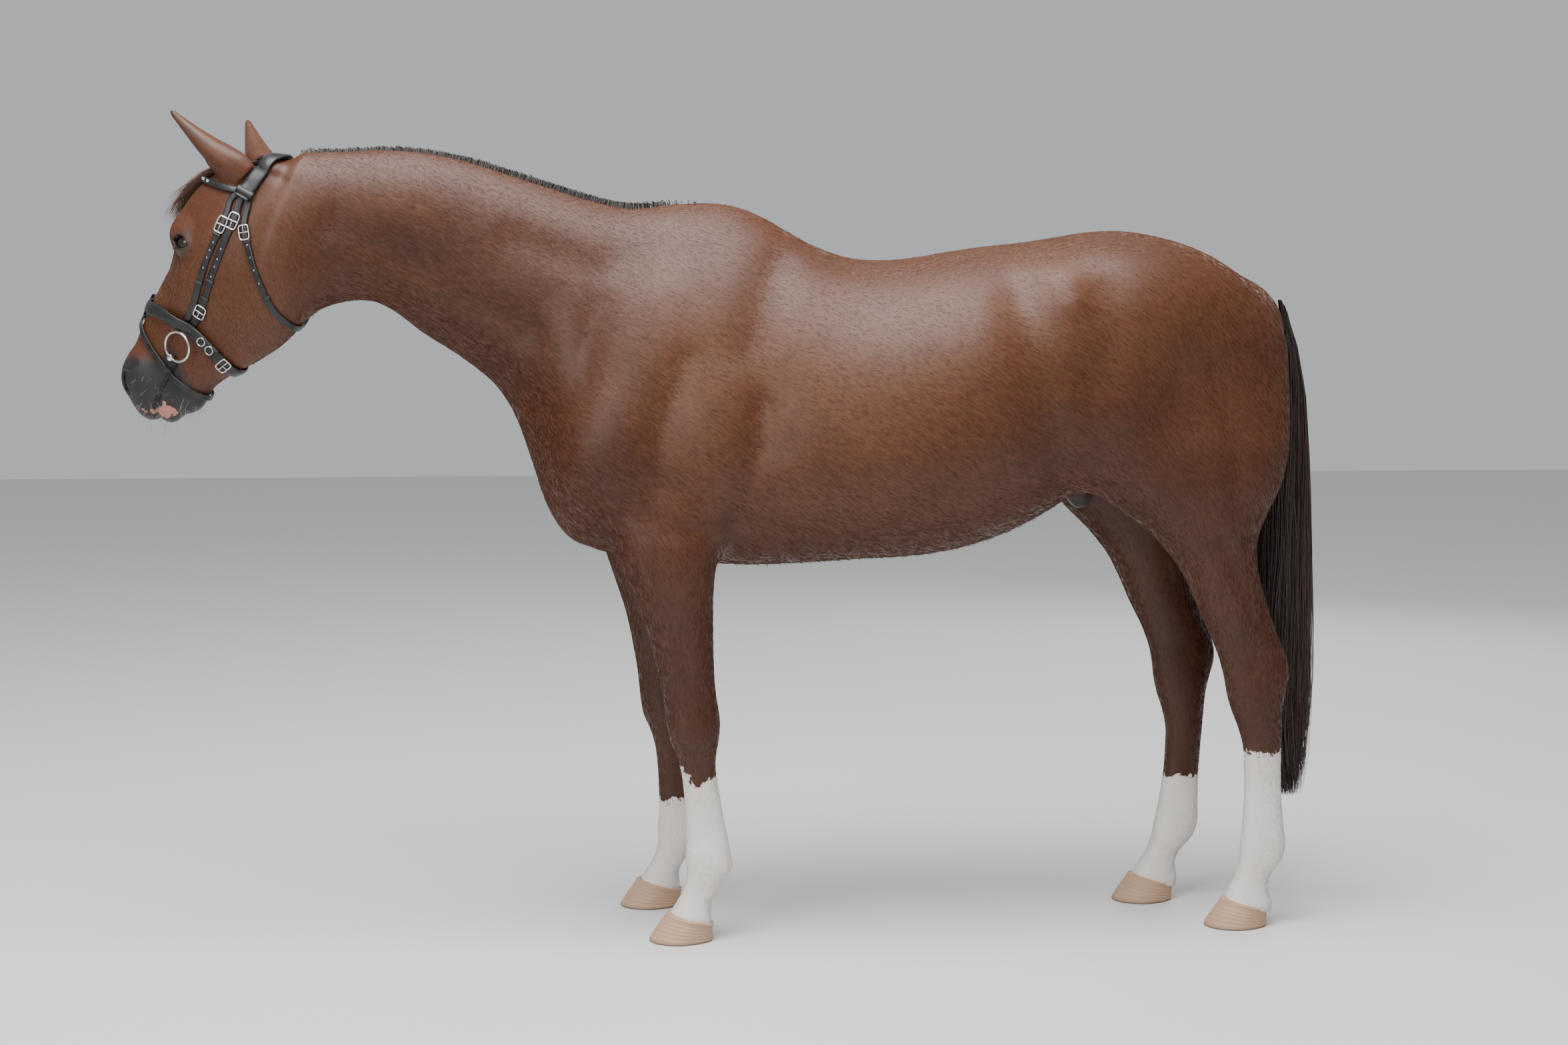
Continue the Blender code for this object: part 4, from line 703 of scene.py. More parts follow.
# %% Streaks along the hair
streaks, inside, outside = new_group("hair_streaks", {"Place": None, "Fineness": 420.0}, ["Streak", "Patch"])
HAIR_SLANT = -0.53  # radians about y, from the hair's way to x
turning = {"Vector": inside.outputs["Place"], "Rotation": (0, HAIR_SLANT, 0)}
turned = node(streaks, "ShaderNodeMapping", turning).outputs[0]
drawn_out = node(streaks, "ShaderNodeMapping", {"Vector": turned, "Scale": (0.07, 1, 1)}).outputs[0]
fine = noise(streaks, drawn_out, inside.outputs["Fineness"], 2.0)
broad = noise(streaks, inside.outputs["Place"], 5.5, 4.0)
streaks.links.new(fine, outside.inputs["Streak"])
streaks.links.new(broad, outside.inputs["Patch"])
print("group", streaks.name)

# %% [markdown]
# The coat's material serves skin and hair alike. Three numbers come with the mesh: the height above the
# sock's edge, how dark the bare skin is, and how pink. A fourth paints broad light and shade into the colour:
# painted highlights where light falls, and painted shade such as the dark hollow of the flank.

# %% Coat
# The dark and the light chestnut serve for real changes of tone, and also as painted shade and painted
# highlights.
CHESTNUT, CHESTNUT_DARK_AND_PAINTED_SHADE = (0.074, 0.0215, 0.0075, 1), (0.0190, 0.0062, 0.0030, 1)
CHESTNUT_LIGHT_AND_PAINTED_HIGHLIGHT = (0.150, 0.058, 0.024, 1)
SOCK_WHITE, SOCK_SHADE = (0.74, 0.70, 0.66, 1), (0.50, 0.42, 0.37, 1)
BARE_DARK, BARE_PINK = (0.020, 0.017, 0.018, 1), (0.40, 0.17, 0.13, 1)


def coat_finish(name, hair):
    """Coat with its markings. hair is 1 on the hairs and 0 on the skin, which carries the bump."""
    finish, tree, shader = new_finish(
        name, roughness=0.38, sheen_weight=0.03, sheen_roughness=0.35, sheen_tint=(1.0, 0.72, 0.55, 1),
        specular_ior_level=0.36,
    )
    place = object_place(tree)
    strands = node(tree, "ShaderNodeGroup", {"Place": place, "Fineness": 420.0}, node_tree=streaks)
    streak, patch = strands.outputs["Streak"], strands.outputs["Patch"]
    broad = math(tree, "MULTIPLY", math(tree, "SUBTRACT", patch, 0.5), 0.55)
    # The tone number from the mesh carries painted highlights and painted shade; random patches and streaks
    # are added to it.
    tone = math(tree, "ADD", attribute(tree, "tone"), broad)
    tone = math(tree, "ADD", tone, math(tree, "MULTIPLY", math(tree, "SUBTRACT", streak, 0.5), 0.75))
    dark = blend(tree, math(tree, "MULTIPLY", tone, -1.0, clamp=True), CHESTNUT, CHESTNUT_DARK_AND_PAINTED_SHADE)
    coat = blend(tree, math(tree, "MULTIPLY", tone, 1.0, clamp=True), dark, CHESTNUT_LIGHT_AND_PAINTED_HIGHLIGHT)
    ragged = math(tree, "MULTIPLY", math(tree, "SUBTRACT", noise(tree, place, 70.0, 3.0), 0.5), 0.055)
    above = math(tree, "ADD", attribute(tree, "sock"), ragged)
    white = math(tree, "MULTIPLY_ADD", above, -220.0, 0.5, clamp=True)
    sock = blend(tree, math(tree, "MULTIPLY", patch, streak), SOCK_WHITE, SOCK_SHADE)
    colour = blend(tree, white, coat, sock)
    colour = blend(tree, attribute(tree, "bare"), colour, BARE_DARK)
    pinkness = attribute(tree, "pink")
    blots = math(tree, "MULTIPLY", math(tree, "SUBTRACT", noise(tree, place, 55.0, 2.0), 0.5), 2.4)
    spotted = math(tree, "MULTIPLY_ADD", blots, math(tree, "MULTIPLY", pinkness, 2.0, clamp=True), pinkness)
    pink = math(tree, "MULTIPLY_ADD", math(tree, "SUBTRACT", spotted, 0.5), 9.0, 0.5, clamp=True)
    colour = blend(tree, pink, colour, BARE_PINK)
    tree.links.new(colour, shader.inputs["Base Color"])
    rough = math(tree, "MULTIPLY_ADD", streak, 0.22, 0.33)
    tree.links.new(rough, shader.inputs["Roughness"])
    if not hair:
        grain = noise(tree, place, 900.0, 2.0)
        height = math(tree, "ADD", math(tree, "MULTIPLY", streak, 0.7), math(tree, "MULTIPLY", grain, 0.3))
        bump(tree, shader, height, 0.35, 0.0012)
    return finish


coat_skin = coat_finish("coat_skin", hair=False)
coat_hair = coat_finish("coat_hair", hair=True)
print("coat", CHESTNUT[:3])


# %% Long hair, horn, eyes, leather and metal
def hair_finish(name, root, tip, shine=0.36):
    """Long hair: each lock has its own tone, and the tips differ from the roots."""
    finish, tree, shader = new_finish(name, roughness=shine, specular_ior_level=0.5, sheen_weight=0.1)
    along, lock = attribute(tree, "along"), attribute(tree, "lock")
    colour = blend(tree, math(tree, "MULTIPLY_ADD", lock, 0.6, math(tree, "MULTIPLY", along, 0.4)), root, tip)
    tree.links.new(colour, shader.inputs["Base Color"])
    return finish


mane_finish = hair_finish("mane_hair", (0.016, 0.010, 0.008, 1), (0.105, 0.080, 0.066, 1), 0.45)
forelock_finish = hair_finish("forelock_hair", (0.050, 0.018, 0.008, 1), (0.250, 0.105, 0.048, 1))
tail_finish = hair_finish("tail_hair", (0.0065, 0.0045, 0.004, 1), (0.050, 0.018, 0.010, 1))

horn, tree, shader = new_finish("hoof_horn", roughness=0.55, specular_ior_level=0.35)
place = object_place(tree)
flat = node(tree, "ShaderNodeMapping", {"Vector": place, "Scale": (1, 1, 14)}).outputs[0]
rings = noise(tree, flat, 14.0, 4.0)
upright = node(tree, "ShaderNodeMapping", {"Vector": place, "Scale": (1, 1, 0.06)}).outputs[0]
fibre = noise(tree, upright, 600.0, 2.0)
tan = blend(tree, rings, (0.52, 0.33, 0.20, 1), (0.34, 0.19, 0.115, 1))
tan = blend(tree, math(tree, "MULTIPLY", fibre, 0.5), tan, (0.52, 0.38, 0.28, 1))
tan = blend(tree, attribute(tree, "worn"), tan, (0.16, 0.115, 0.085, 1))
tree.links.new(tan, shader.inputs["Base Color"])
bump(tree, shader, math(tree, "ADD", rings, math(tree, "MULTIPLY", fibre, 0.4)), 0.5, 0.0012)

ball_finish, tree, shader = new_finish(
    "eyeball", roughness=0.18, coat_weight=0.35, coat_roughness=0.02, specular_ior_level=0.3
)
iris = math(tree, "MULTIPLY_ADD", attribute(tree, "pupil"), -6.0, 1.0, clamp=True)
place = object_place(tree)
brown = blend(tree, noise(tree, place, 900.0, 3.0), (0.011, 0.0055, 0.0035, 1), (0.036, 0.016, 0.008, 1))
brown = blend(tree, iris, brown, (0.0015, 0.0015, 0.003, 1))
white_of_eye = math(tree, "MULTIPLY_ADD", attribute(tree, "rim"), 10.0, 0.0, clamp=True)
tree.links.new(blend(tree, white_of_eye, brown, (0.055, 0.035, 0.030, 1)), shader.inputs["Base Color"])

grain_group, inside, outside = new_group("leather_grain", {"Place": None, "Size": 900.0}, ["Height", "Wear"])
grain_place = {"Vector": inside.outputs["Place"], "Scale": inside.outputs["Size"]}
cells = node(grain_group, "ShaderNodeTexVoronoi", grain_place)
grain_group.links.new(cells.outputs["Distance"], outside.inputs["Height"])
grain_group.links.new(noise(grain_group, inside.outputs["Place"], 60.0, 4.0), outside.inputs["Wear"])


def leather_finish(name, colour, worn):
    """Grained leather; its edges carry a raised line of stitches, from the strap's own map."""
    finish, tree, shader = new_finish(name, roughness=0.38, specular_ior_level=0.45, coat_weight=0.08)
    place = object_place(tree)
    skin = node(tree, "ShaderNodeGroup", {"Place": place, "Size": 900.0}, node_tree=grain_group)
    wear = math(tree, "MULTIPLY_ADD", skin.outputs["Wear"], 3.0, -1.35, clamp=True)
    strap_map = node(tree, "ShaderNodeUVMap", uv_map="strap").outputs[0]
    split = node(tree, "ShaderNodeSeparateXYZ", {0: strap_map})
    across = math(tree, "ABSOLUTE", split.outputs["Y"])
    seam = math(tree, "LESS_THAN", math(tree, "ABSOLUTE", math(tree, "SUBTRACT", across, 0.72)), 0.07)
    wave = math(tree, "SINE", math(tree, "MULTIPLY", split.outputs["X"], 1800.0))
    dash = math(tree, "GREATER_THAN", wave, -0.35)
    stitch = math(tree, "MULTIPLY", seam, dash)
    base = blend(tree, wear, colour, worn)
    base = blend(tree, math(tree, "MULTIPLY", stitch, 0.7), base, tuple(3.5 * c for c in colour[:3]) + (1,))
    tree.links.new(base, shader.inputs["Base Color"])
    tree.links.new(math(tree, "MULTIPLY_ADD", wear, 0.22, 0.34), shader.inputs["Roughness"])
    height = math(tree, "MULTIPLY_ADD", stitch, 0.9, math(tree, "MULTIPLY", skin.outputs["Height"], 0.4))
    bump(tree, shader, height, 0.5, 0.0006)
    return finish


black_leather = leather_finish("black_leather", (0.0058, 0.0056, 0.0060, 1), (0.018, 0.017, 0.018, 1))

steel, tree, shader = new_finish("polished_steel", metallic=1.0)
place = object_place(tree)
scratches = noise(tree, place, 400.0, 4.0, 0.7)
scratched = blend(tree, scratches, (0.72, 0.71, 0.69, 1), (0.50, 0.49, 0.48, 1))
tree.links.new(scratched, shader.inputs["Base Color"])
tree.links.new(math(tree, "MULTIPLY_ADD", scratches, 0.18, 0.10), shader.inputs["Roughness"])
bump(tree, shader, scratches, 0.06, 0.0004)

stone, tree, shader = new_finish(
    "clear_stones", base_color=(0.75, 0.78, 0.80, 1), roughness=0.05, metallic=0.6
)
place = object_place(tree)
facets = node(tree, "ShaderNodeTexVoronoi", {"Vector": place, "Scale": 700.0}).outputs["Color"]
tree.links.new(blend(tree, 0.25, (0.70, 0.73, 0.76, 1), facets), shader.inputs["Base Color"])
print("finishes", len(bpy.data.materials))

# %% [markdown]
# ## The skin
# The skin is sampled from the field by surface nets: a grid of cubes, one point in each cube that the
# surface crosses, and a face around each grid edge that it cuts. The trunk gets a wide grid and the head
# a finer one. The two meshes are cut by a plane across the neck and their rims are bridged, so that one
# closed skin comes out. Small things, such as lids and nostrils, are then cut finer and drawn onto the
# field, which costs far fewer faces than a fine grid everywhere.


# %% Surface nets
CUBE = np.array(np.meshgrid((0, 1), (0, 1), (0, 1), indexing="ij")).reshape(3, -1).T


def at_corners(mask):
    """The mask at the eight corners of each cell of its grid."""
    size = np.array(mask.shape) - 1
    return [mask[i : size[0] + i, j : size[1] + j, k : size[2] + k] for i, j, k in CUBE]


def sampled(field, low, high, step, coarse=4):
    """Values on a grid: exact near the surface, and from a coarse grid away from it."""
    low = np.array(low, float)
    count = np.ceil((np.array(high) - low) / step / coarse).astype(int) * coarse + 1
    rough = [low[i] + step * coarse * np.arange((count[i] - 1) // coarse + 1) for i in range(3)]
    places = np.stack(np.meshgrid(*rough, indexing="ij"), -1)
    value = field(places.reshape(-1, 3)).reshape(places.shape[:3])
    near = np.any(at_corners(np.abs(value) < step * coarse * 1.8), axis=0)
    for axis in range(3):
        value = np.repeat(value, coarse, axis)
        near = np.repeat(near, coarse, axis)
    value = value[: count[0], : count[1], : count[2]].copy()
    corner = np.zeros(count, bool)
    for i, j, k in CUBE:
        corner[i : i + near.shape[0], j : j + near.shape[1], k : k + near.shape[2]] |= near
    where = np.argwhere(corner)
    value[tuple(where.T)] = field(low + step * where)
    return low, value


def nets(field, low, high, step):
    """Points and quads of the field's zero surface, its faces outwards."""
    low, value = sampled(field, low, high, step)
    inside, count = value < 0, value.shape
    filled = np.sum(at_corners(inside), axis=0)
    cells = np.argwhere((filled > 0) & (filled < 8))
    number = np.full(np.array(count) - 1, -1)
    number[tuple(cells.T)] = np.arange(len(cells))
    total, crossed = np.zeros((len(cells), 3)), np.zeros((len(cells), 1))
    quads = []
    for axis in range(3):
        unit_step = np.eye(3, dtype=int)[axis]
        for corner in CUBE[CUBE[:, axis] == 0]:
            near, far = value[tuple((cells + corner).T)], value[tuple((cells + corner + unit_step).T)]
            cut = ((near < 0) != (far < 0))[:, None]
            part = np.where(cut, (near / np.where(near == far, 1, near - far))[:, None], 0)
            total += cut * (corner + part * unit_step)
            crossed += cut
        first, second = (axis + 1) % 3, (axis + 2) % 3
        head = inside.take(range(count[axis] - 1), axis)
        tail_end = inside.take(range(1, count[axis]), axis)
        edge = np.argwhere(head != tail_end)
        room = (edge[:, [first, second]] > 0).all(1)
        room &= (edge[:, first] < count[first] - 1) & (edge[:, second] < count[second] - 1)
        edge = edge[room]
        around = []
        for a, b in ((-1, -1), (0, -1), (0, 0), (-1, 0)):
            beside = edge.copy()
            beside[:, first] += a
            beside[:, second] += b
            around.append(number[tuple(beside.T)])
        around = np.stack(around, 1)
        turned = ~head[tuple(edge.T)]
        around[turned] = around[turned][:, ::-1]
        quads.append(around)
    return low + step * (cells + total / crossed), np.concatenate(quads)


def finer(points, faces, near):
    """Cuts the triangles whose sides have a near middle: into two, three or four."""
    sides = np.sort(faces[:, [0, 1, 1, 2, 2, 0]].reshape(-1, 2), axis=1)
    pairs, number = np.unique(sides, axis=0, return_inverse=True)
    middle = points[pairs].mean(1)
    cut = near(middle)
    fresh = np.where(cut, len(points) + np.cumsum(cut) - 1, -1)
    m = fresh[number.reshape(-1)].reshape(-1, 3)
    cuts = (m >= 0).sum(1)
    made = [faces[cuts == 0]]
    for shift in range(3):
        order = [(shift + i) % 3 for i in range(3)]
        one = (cuts == 1) & (m[:, order[0]] >= 0)
        v, w = faces[one][:, order], m[one][:, order]
        made += [np.stack([v[:, 0], w[:, 0], v[:, 2]], 1), np.stack([w[:, 0], v[:, 1], v[:, 2]], 1)]
        two = (cuts == 2) & (m[:, order[2]] < 0)
        v, w = faces[two][:, order], m[two][:, order]
        made += [np.stack([v[:, 1], w[:, 1], w[:, 0]], 1), np.stack([v[:, 0], w[:, 0], w[:, 1]], 1)]
        made += [np.stack([v[:, 0], w[:, 1], v[:, 2]], 1)]
    v, w = faces[cuts == 3], m[cuts == 3]
    made += [np.stack([v[:, i], w[:, i], w[:, (i + 2) % 3]], 1) for i in range(3)] + [w]
    return np.concatenate([points, middle[cut]]), np.concatenate(made)


# %% The coat's depth, and the skin inside it
def coat_depth(p):
    """How far the skin lies inside the solids: 3.4 mm on the body, thinning to 1.2 mm on face and feet."""
    off_head = ease(-1.2, -0.9, p[:, 0]) * ease(0.35, 0.95, p[:, 2])
    return 0.0012 + 0.0022 * off_head


EAR_CUT, EAR_LEAF = 0.045, 0.048  # along the ear: where its root ends and where its leaf starts
EAR_WALL, EAR_TIP = 0.0035, 0.016  # thickness, and how far the point's rounding reaches


def skin_field(p):
    """Body with the roots of its ears, less the coat's depth."""
    f = body(p, socket=False)
    for name in EARS:
        base, along, _, _ = ear_frame(name)
        root = np.maximum(ear(p, name, 0.008, 0.062), (in_head(p) - base) @ along - EAR_CUT - 0.012)
        f = join(f, root, 0.012)
    return f + coat_depth(p)


def leaf(name):
    """Ear beyond its root: rings that turn from a full oval into a C and close again at the tip."""
    base, along, face, across = ear_frame(name)
    place = EAR_LEAF + (EAR_LONG - EAR_LEAF) * np.linspace(0, 1, 46)[:, None] ** 0.93
    tip = np.sqrt(1 - 0.98 * np.clip((place - EAR_LONG + EAR_TIP) / EAR_TIP, 0, 1) ** 2)
    half, deep = (through(EAR_WIDE, place) - 0.0012) * tip, (through(EAR_DEEP, place) - 0.0012) * tip
    hollow = ease(0.050, 0.078, place) * (1 - ease(0.160, 0.182, place))
    back = np.radians(np.linspace(-132, 132, 40))
    bed = np.radians(np.linspace(116, -116, 34))
    front = np.radians(np.linspace(140, 220, 34))
    wall, shut = np.minimum(EAR_WALL, half * 0.35), 1 - hollow
    rim_u = [half * np.sin(back), shut * half * np.sin(front) + hollow * (half - wall) * np.sin(bed)]
    rim_v = [deep * np.cos(back), shut * deep * np.cos(front) + hollow * (deep - wall) * np.cos(bed)]
    u, v = np.hstack(rim_u), -np.hstack(rim_v) + 0.003 * np.sin(np.pi * place / EAR_LONG)
    q = base + place[..., None] * along + u[..., None] * across + v[..., None] * face
    return from_head(q.reshape(-1, 3)), q.shape[0], q.shape[1]


# %% Joining the parts of the skin
NECK_CUT = (np.array((-0.975, 0.0, 1.55)), unit((-0.975, 0.14, -0.178)))  # point and the way to the head
NECK_GAP = 0.008
CORONET_FRONT, CORONET_SLOPE = 0.064, 0.255  # height of the coronet at the toe, and its fall to the heel
SOLE_AHEAD = 0.046  # from the hoof's foremost point back to the toe's coronet
CORONET_LAP = 0.004  # how far the skin reaches down inside the horn
FOOT_HALF, FOOT_TOP = 0.09, 0.1  # half width and height of the room round one foot


def hoof_places():
    """For each hoof, where the coronet starts at the toe, and the middle across it."""
    places = {}
    for end in ("front", "hind"):
        for side in ("left", "right"):
            low, high = (np.array(corner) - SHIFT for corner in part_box(f"hoof_{end}_{side}"))
            places[f"{end}_{side}"] = (low[0] + SOLE_AHEAD, (low[1] + high[1]) / 2)
    return places


HOOVES = hoof_places()
print("toes", {name: (round(x, 3), round(y, 3)) for name, (x, y) in HOOVES.items()})


def as_arrays(work):
    """Points and triangles of a work mesh, which is freed."""
    bmesh.ops.triangulate(work, faces=work.faces[:])
    work.verts.index_update()
    points = np.array([v.co for v in work.verts])
    faces = np.array([[v.index for v in f.verts] for f in work.faces])
    work.free()
    return points, faces


def as_bmesh(points, faces):
    """Work mesh from points and faces."""
    mesh = bpy.data.meshes.new("work")
    mesh.from_pydata(points.tolist(), [], faces.tolist())
    work = bmesh.new()
    work.from_mesh(mesh)
    bpy.data.meshes.remove(mesh)
    return work


def trimmed(work, point, normal, near=None):
    """Removes what lies beyond the plane, of the faces whose middles are near."""
    faces = [f for f in work.faces if near is None or near(f.calc_center_median())]
    corners = dict.fromkeys(v for f in faces for v in f.verts)  # each one once, in a fixed order
    sides = dict.fromkeys(e for f in faces for e in f.edges)
    geom = [*corners, *sides, *faces]
    bmesh.ops.bisect_plane(work, geom=geom, plane_co=point, plane_no=normal, clear_outer=True)
    return work


def largest_part(points, faces):
    """Keeps the faces that hang together with most of the others, by spreading the lowest number."""
    mark = np.arange(len(points))
    while True:
        low = mark[faces].min(1)
        after = mark.copy()
        for corner in range(3):
            np.minimum.at(after, faces[:, corner], low)
        if (after == mark).all():
            break
        mark = after[after]
    names, count = np.unique(mark[faces[:, 0]], return_counts=True)
    faces = faces[mark[faces[:, 0]] == names[count.argmax()]]
    used, faces = np.unique(faces, return_inverse=True)
    return points[used], faces.reshape(-1, 3)


def rims(work, point, normal, reach, near=None):
    """Open edges within reach of the plane."""
    found = []
    for edge in work.edges:
        if edge.is_boundary:
            middle = (edge.verts[0].co + edge.verts[1].co) / 2
            if abs((np.array(middle) - point) @ normal) < reach and (near is None or near(middle)):
                found.append(edge)
    return found


def bare_skin():
    """Trunk, head and ears, cut and bridged into one closed skin with its feet capped at the coronets."""
    point, ahead = NECK_CUT
    trunk_points, quads = nets(skin_field, (-1.10, -0.40, 0.01), (1.30, 0.40, 1.80), 0.012)
    trunk_mesh = trimmed(as_bmesh(trunk_points, quads), point - ahead * NECK_GAP / 2, ahead)
    for x, y in HOOVES.values():
        low = np.array((x, 0, CORONET_FRONT - CORONET_LAP))
        at_foot = lambda at, x=x, y=y: at.z < 0.15 and abs(at.x - x - 0.05) < 0.12 and abs(at.y - y) < 0.12
        trimmed(trunk_mesh, low, unit((-CORONET_SLOPE, 0, -1)), at_foot)
    trunk_part = largest_part(*as_arrays(trunk_mesh))
    head_points, quads = nets(skin_field, (-1.64, -0.20, 1.10), (-0.90, 0.38, 1.90), 0.006)
    head_mesh = trimmed(as_bmesh(head_points, quads), point + ahead * NECK_GAP / 2, -ahead)
    ears = []
    for name in EARS:
        base, along, _, _ = ear_frame(name)
        root = from_head(base + along * EAR_CUT)[0]
        way = from_head(base + along)[0] - from_head(base)[0]
        near = lambda at, root=root: np.linalg.norm(np.array(at) - root) < 0.075
        trimmed(head_mesh, root, way, near)
        ears.append((root, way, near))
    parts = [trunk_part, largest_part(*as_arrays(head_mesh))]
    for name in EARS:
        points, rings, around = leaf(name)
        faces = tube_faces(rings, around)
        tip = np.append(np.arange((rings - 1) * around, rings * around), len(points))
        points = np.vstack([points, points[-around:].mean(0)])
        faces = np.concatenate([faces[:, [0, 1, 2]], faces[:, [0, 2, 3]], fan(tip)])
        parts.append((points, faces))
    offset = np.cumsum([0] + [len(points) for points, _ in parts[:-1]])
    work = as_bmesh(
        np.concatenate([points for points, _ in parts]),
        np.concatenate([faces + start for (_, faces), start in zip(parts, offset)]),
    )
    bmesh.ops.bridge_loops(work, edges=rims(work, point, ahead, NECK_GAP))
    for root, way, near in ears:
        bmesh.ops.bridge_loops(work, edges=rims(work, root, way, 0.008, near))
    bmesh.ops.holes_fill(work, edges=[e for e in work.edges if e.is_boundary], sides=0)
    bmesh.ops.recalc_face_normals(work, faces=work.faces[:])
    return as_arrays(work)


def near_head_detail(reach_eye, reach_nose, reach_mouth):
    """Test for places near an eye, a nostril or the line of the mouth."""
    def near(p):
        """True at the places that are near one of them."""
        q = in_head(p)
        m = folded(q)
        eye = np.linalg.norm(m - EYE_PLACE, axis=1) < reach_eye
        nose = from_path(m, NOSTRIL) < reach_nose
        mouth = (from_path(q[:, [0, 2]], MOUTH) < reach_mouth) & (q[:, 0] > 0.24)
        return eye | nose | mouth
    return near


def at_coronets(points, test):
    """Points of the feet whose height over the slanting cut at the coronet passes the test."""
    found = np.zeros(len(points), bool)
    for x, y in HOOVES.values():
        rise = points[:, 2] - CORONET_FRONT + CORONET_LAP + CORONET_SLOPE * (points[:, 0] - x)
        found |= test(rise) & (np.abs(points[:, 1] - y) < FOOT_HALF) & (points[:, 2] < FOOT_TOP)
    return found


def skin_mesh():
    """The bare skin, cut finer on the legs and round the openings of the face, and drawn onto the field."""
    points, faces = bare_skin()
    on_leaf = np.zeros(len(points), bool)
    for name in EARS:
        base, along, _, _ = ear_frame(name)
        w = in_head(points) - base
        on_leaf |= (w @ along > EAR_CUT - 0.001) & (np.linalg.norm(w, axis=1) < EAR_LONG + 0.03)
    fixed = on_leaf | at_coronets(points, lambda rise: np.abs(rise) < 0.0015)
    points[~fixed] = drawn_to(skin_field, points[~fixed], 0.0, 2)
    steps = [
        lambda p: p[:, 2] < 0.70,
        near_head_detail(0.045, 0.028, 0.014),
        near_head_detail(0.030, 0.018, 0.007),
    ]
    for near in steps:
        count = len(points)
        points, faces = finer(points, faces, near)
        fresh = np.arange(len(points)) >= count
        moved = fresh & ~at_coronets(points, lambda rise: rise < 0.0015)
        points[moved] = drawn_to(skin_field, points[moved], 0.0, 2)
    return points, faces


def normals_of(points, faces):
    """Unit normal at each point: the sum of its faces' normals, each as long as its area."""
    corner = points[faces]
    normal = np.cross(corner[:, 1] - corner[:, 0], corner[:, 2] - corner[:, 0])
    to_corners = np.repeat(normal, 3, axis=0)
    total = np.stack([np.bincount(faces.ravel(), part, len(points)) for part in to_corners.T], 1)
    return total / np.maximum(np.linalg.norm(total, axis=1), 1e-12)[:, None]


SKIN_POINTS, SKIN_FACES = skin_mesh()
SKIN_NORMALS = normals_of(SKIN_POINTS, SKIN_FACES)
print("skin", len(SKIN_FACES), "triangles")

# %% [markdown]
# ## Markings
# The markings are functions of place. Each leg has its own sock height, and the sock's edge dips or rises
# round the leg. The muzzle, the lids and the insides of the ears have dark bare skin, and the lips carry
# a pink patch. A tone number paints light and shade into the coat: painted highlights on the barrel, the hip
# and the shoulder, and painted shade on the neck, the breast, the thigh, the belly and low down.

# %% Markings
# height of the sock's edge before, beside and behind the leg
SOCKS = {
    "front_left": (0.405, 0.352, 0.372),
    "front_right": (0.262, 0.250, 0.255),
    "hind_left": (0.395, 0.408, 0.402),
    "hind_right": (0.378, 0.345, 0.300),
}


def sock_height(p):
    """Height of a place above the edge of its leg's sock; far above it on the trunk."""
    above = np.full(len(p), 0.5)
    for name, (before, beside, behind) in SOCKS.items():
        x, y = HOOVES[name]
        middle = x + (0.06 if "front" in name else 0.035)
        mine = (p[:, 2] < 0.75) & (np.sign(p[:, 1]) == np.sign(y)) & (np.abs(p[:, 0] - x) < 0.25)
        turn = np.clip((p[:, 0] - middle) / 0.035, -1, 1)
        edge = np.where(turn < 0, beside + (before - beside) * -turn, beside + (behind - beside) * turn)
        above[mine] = (p[:, 2] - edge)[mine]
    return np.clip(above, -0.3, 0.5)


def blot(p, centre, radius):
    """Soft round spot: 1 at the centre, and 0.37 at the radius, for each axis its own."""
    return np.exp(-((((p - np.array(centre)) / np.array(radius)) ** 2).sum(1)))


# Where the dark skin of the muzzle starts: place along the head by height over its middle.
MUZZLE_EDGE = [
    (-0.16, 0.315), (-0.105, 0.290), (-0.075, 0.262), (-0.053, 0.242), (-0.014, 0.277), (0.03, 0.292),
    (0.077, 0.307),
]
LIP_PINK = [
    ((0.395, 0.018, -0.030), (0.013, 0.022, 0.018)), ((0.378, 0.024, -0.066), (0.020, 0.024, 0.016)),
    ((0.374, 0.020, -0.086), (0.014, 0.022, 0.013)),
]


SHEATH_DARK = (0.683, 0.0, 0.960)
BASE_TONE = 0.10
# Painted highlights (+) where light falls and painted shade (-) where shade lies on the coat: amount, centre
# and radii, the same on both sides.
PAINTED_HIGHLIGHTS_AND_SHADE = [
    (0.30, (0.20, 0.30, 1.28), (0.35, 0.5, 0.22)),  # barrel
    (0.25, (0.62, 0.2, 1.45), (0.16, 0.4, 0.10)),  # point of the hip
    (-0.45, (0.80, 0.25, 1.02), (0.22, 0.5, 0.16)),  # thigh
    (-0.35, (-0.42, 0.2, 1.04), (0.10, 0.5, 0.14)),  # breast
    (-0.40, (-0.86, 0.1, 1.56), (0.22, 0.5, 0.05)),  # middle of the neck
    (-0.30, (0.20, 0.0, 0.90), (0.50, 0.25, 0.06)),  # belly
    (-0.35, (-0.72, 0.1, 1.32), (0.30, 0.5, 0.20)),  # underside of the neck
    (0.22, (-0.22, 0.3, 1.30), (0.16, 0.5, 0.20)),  # shoulder
]


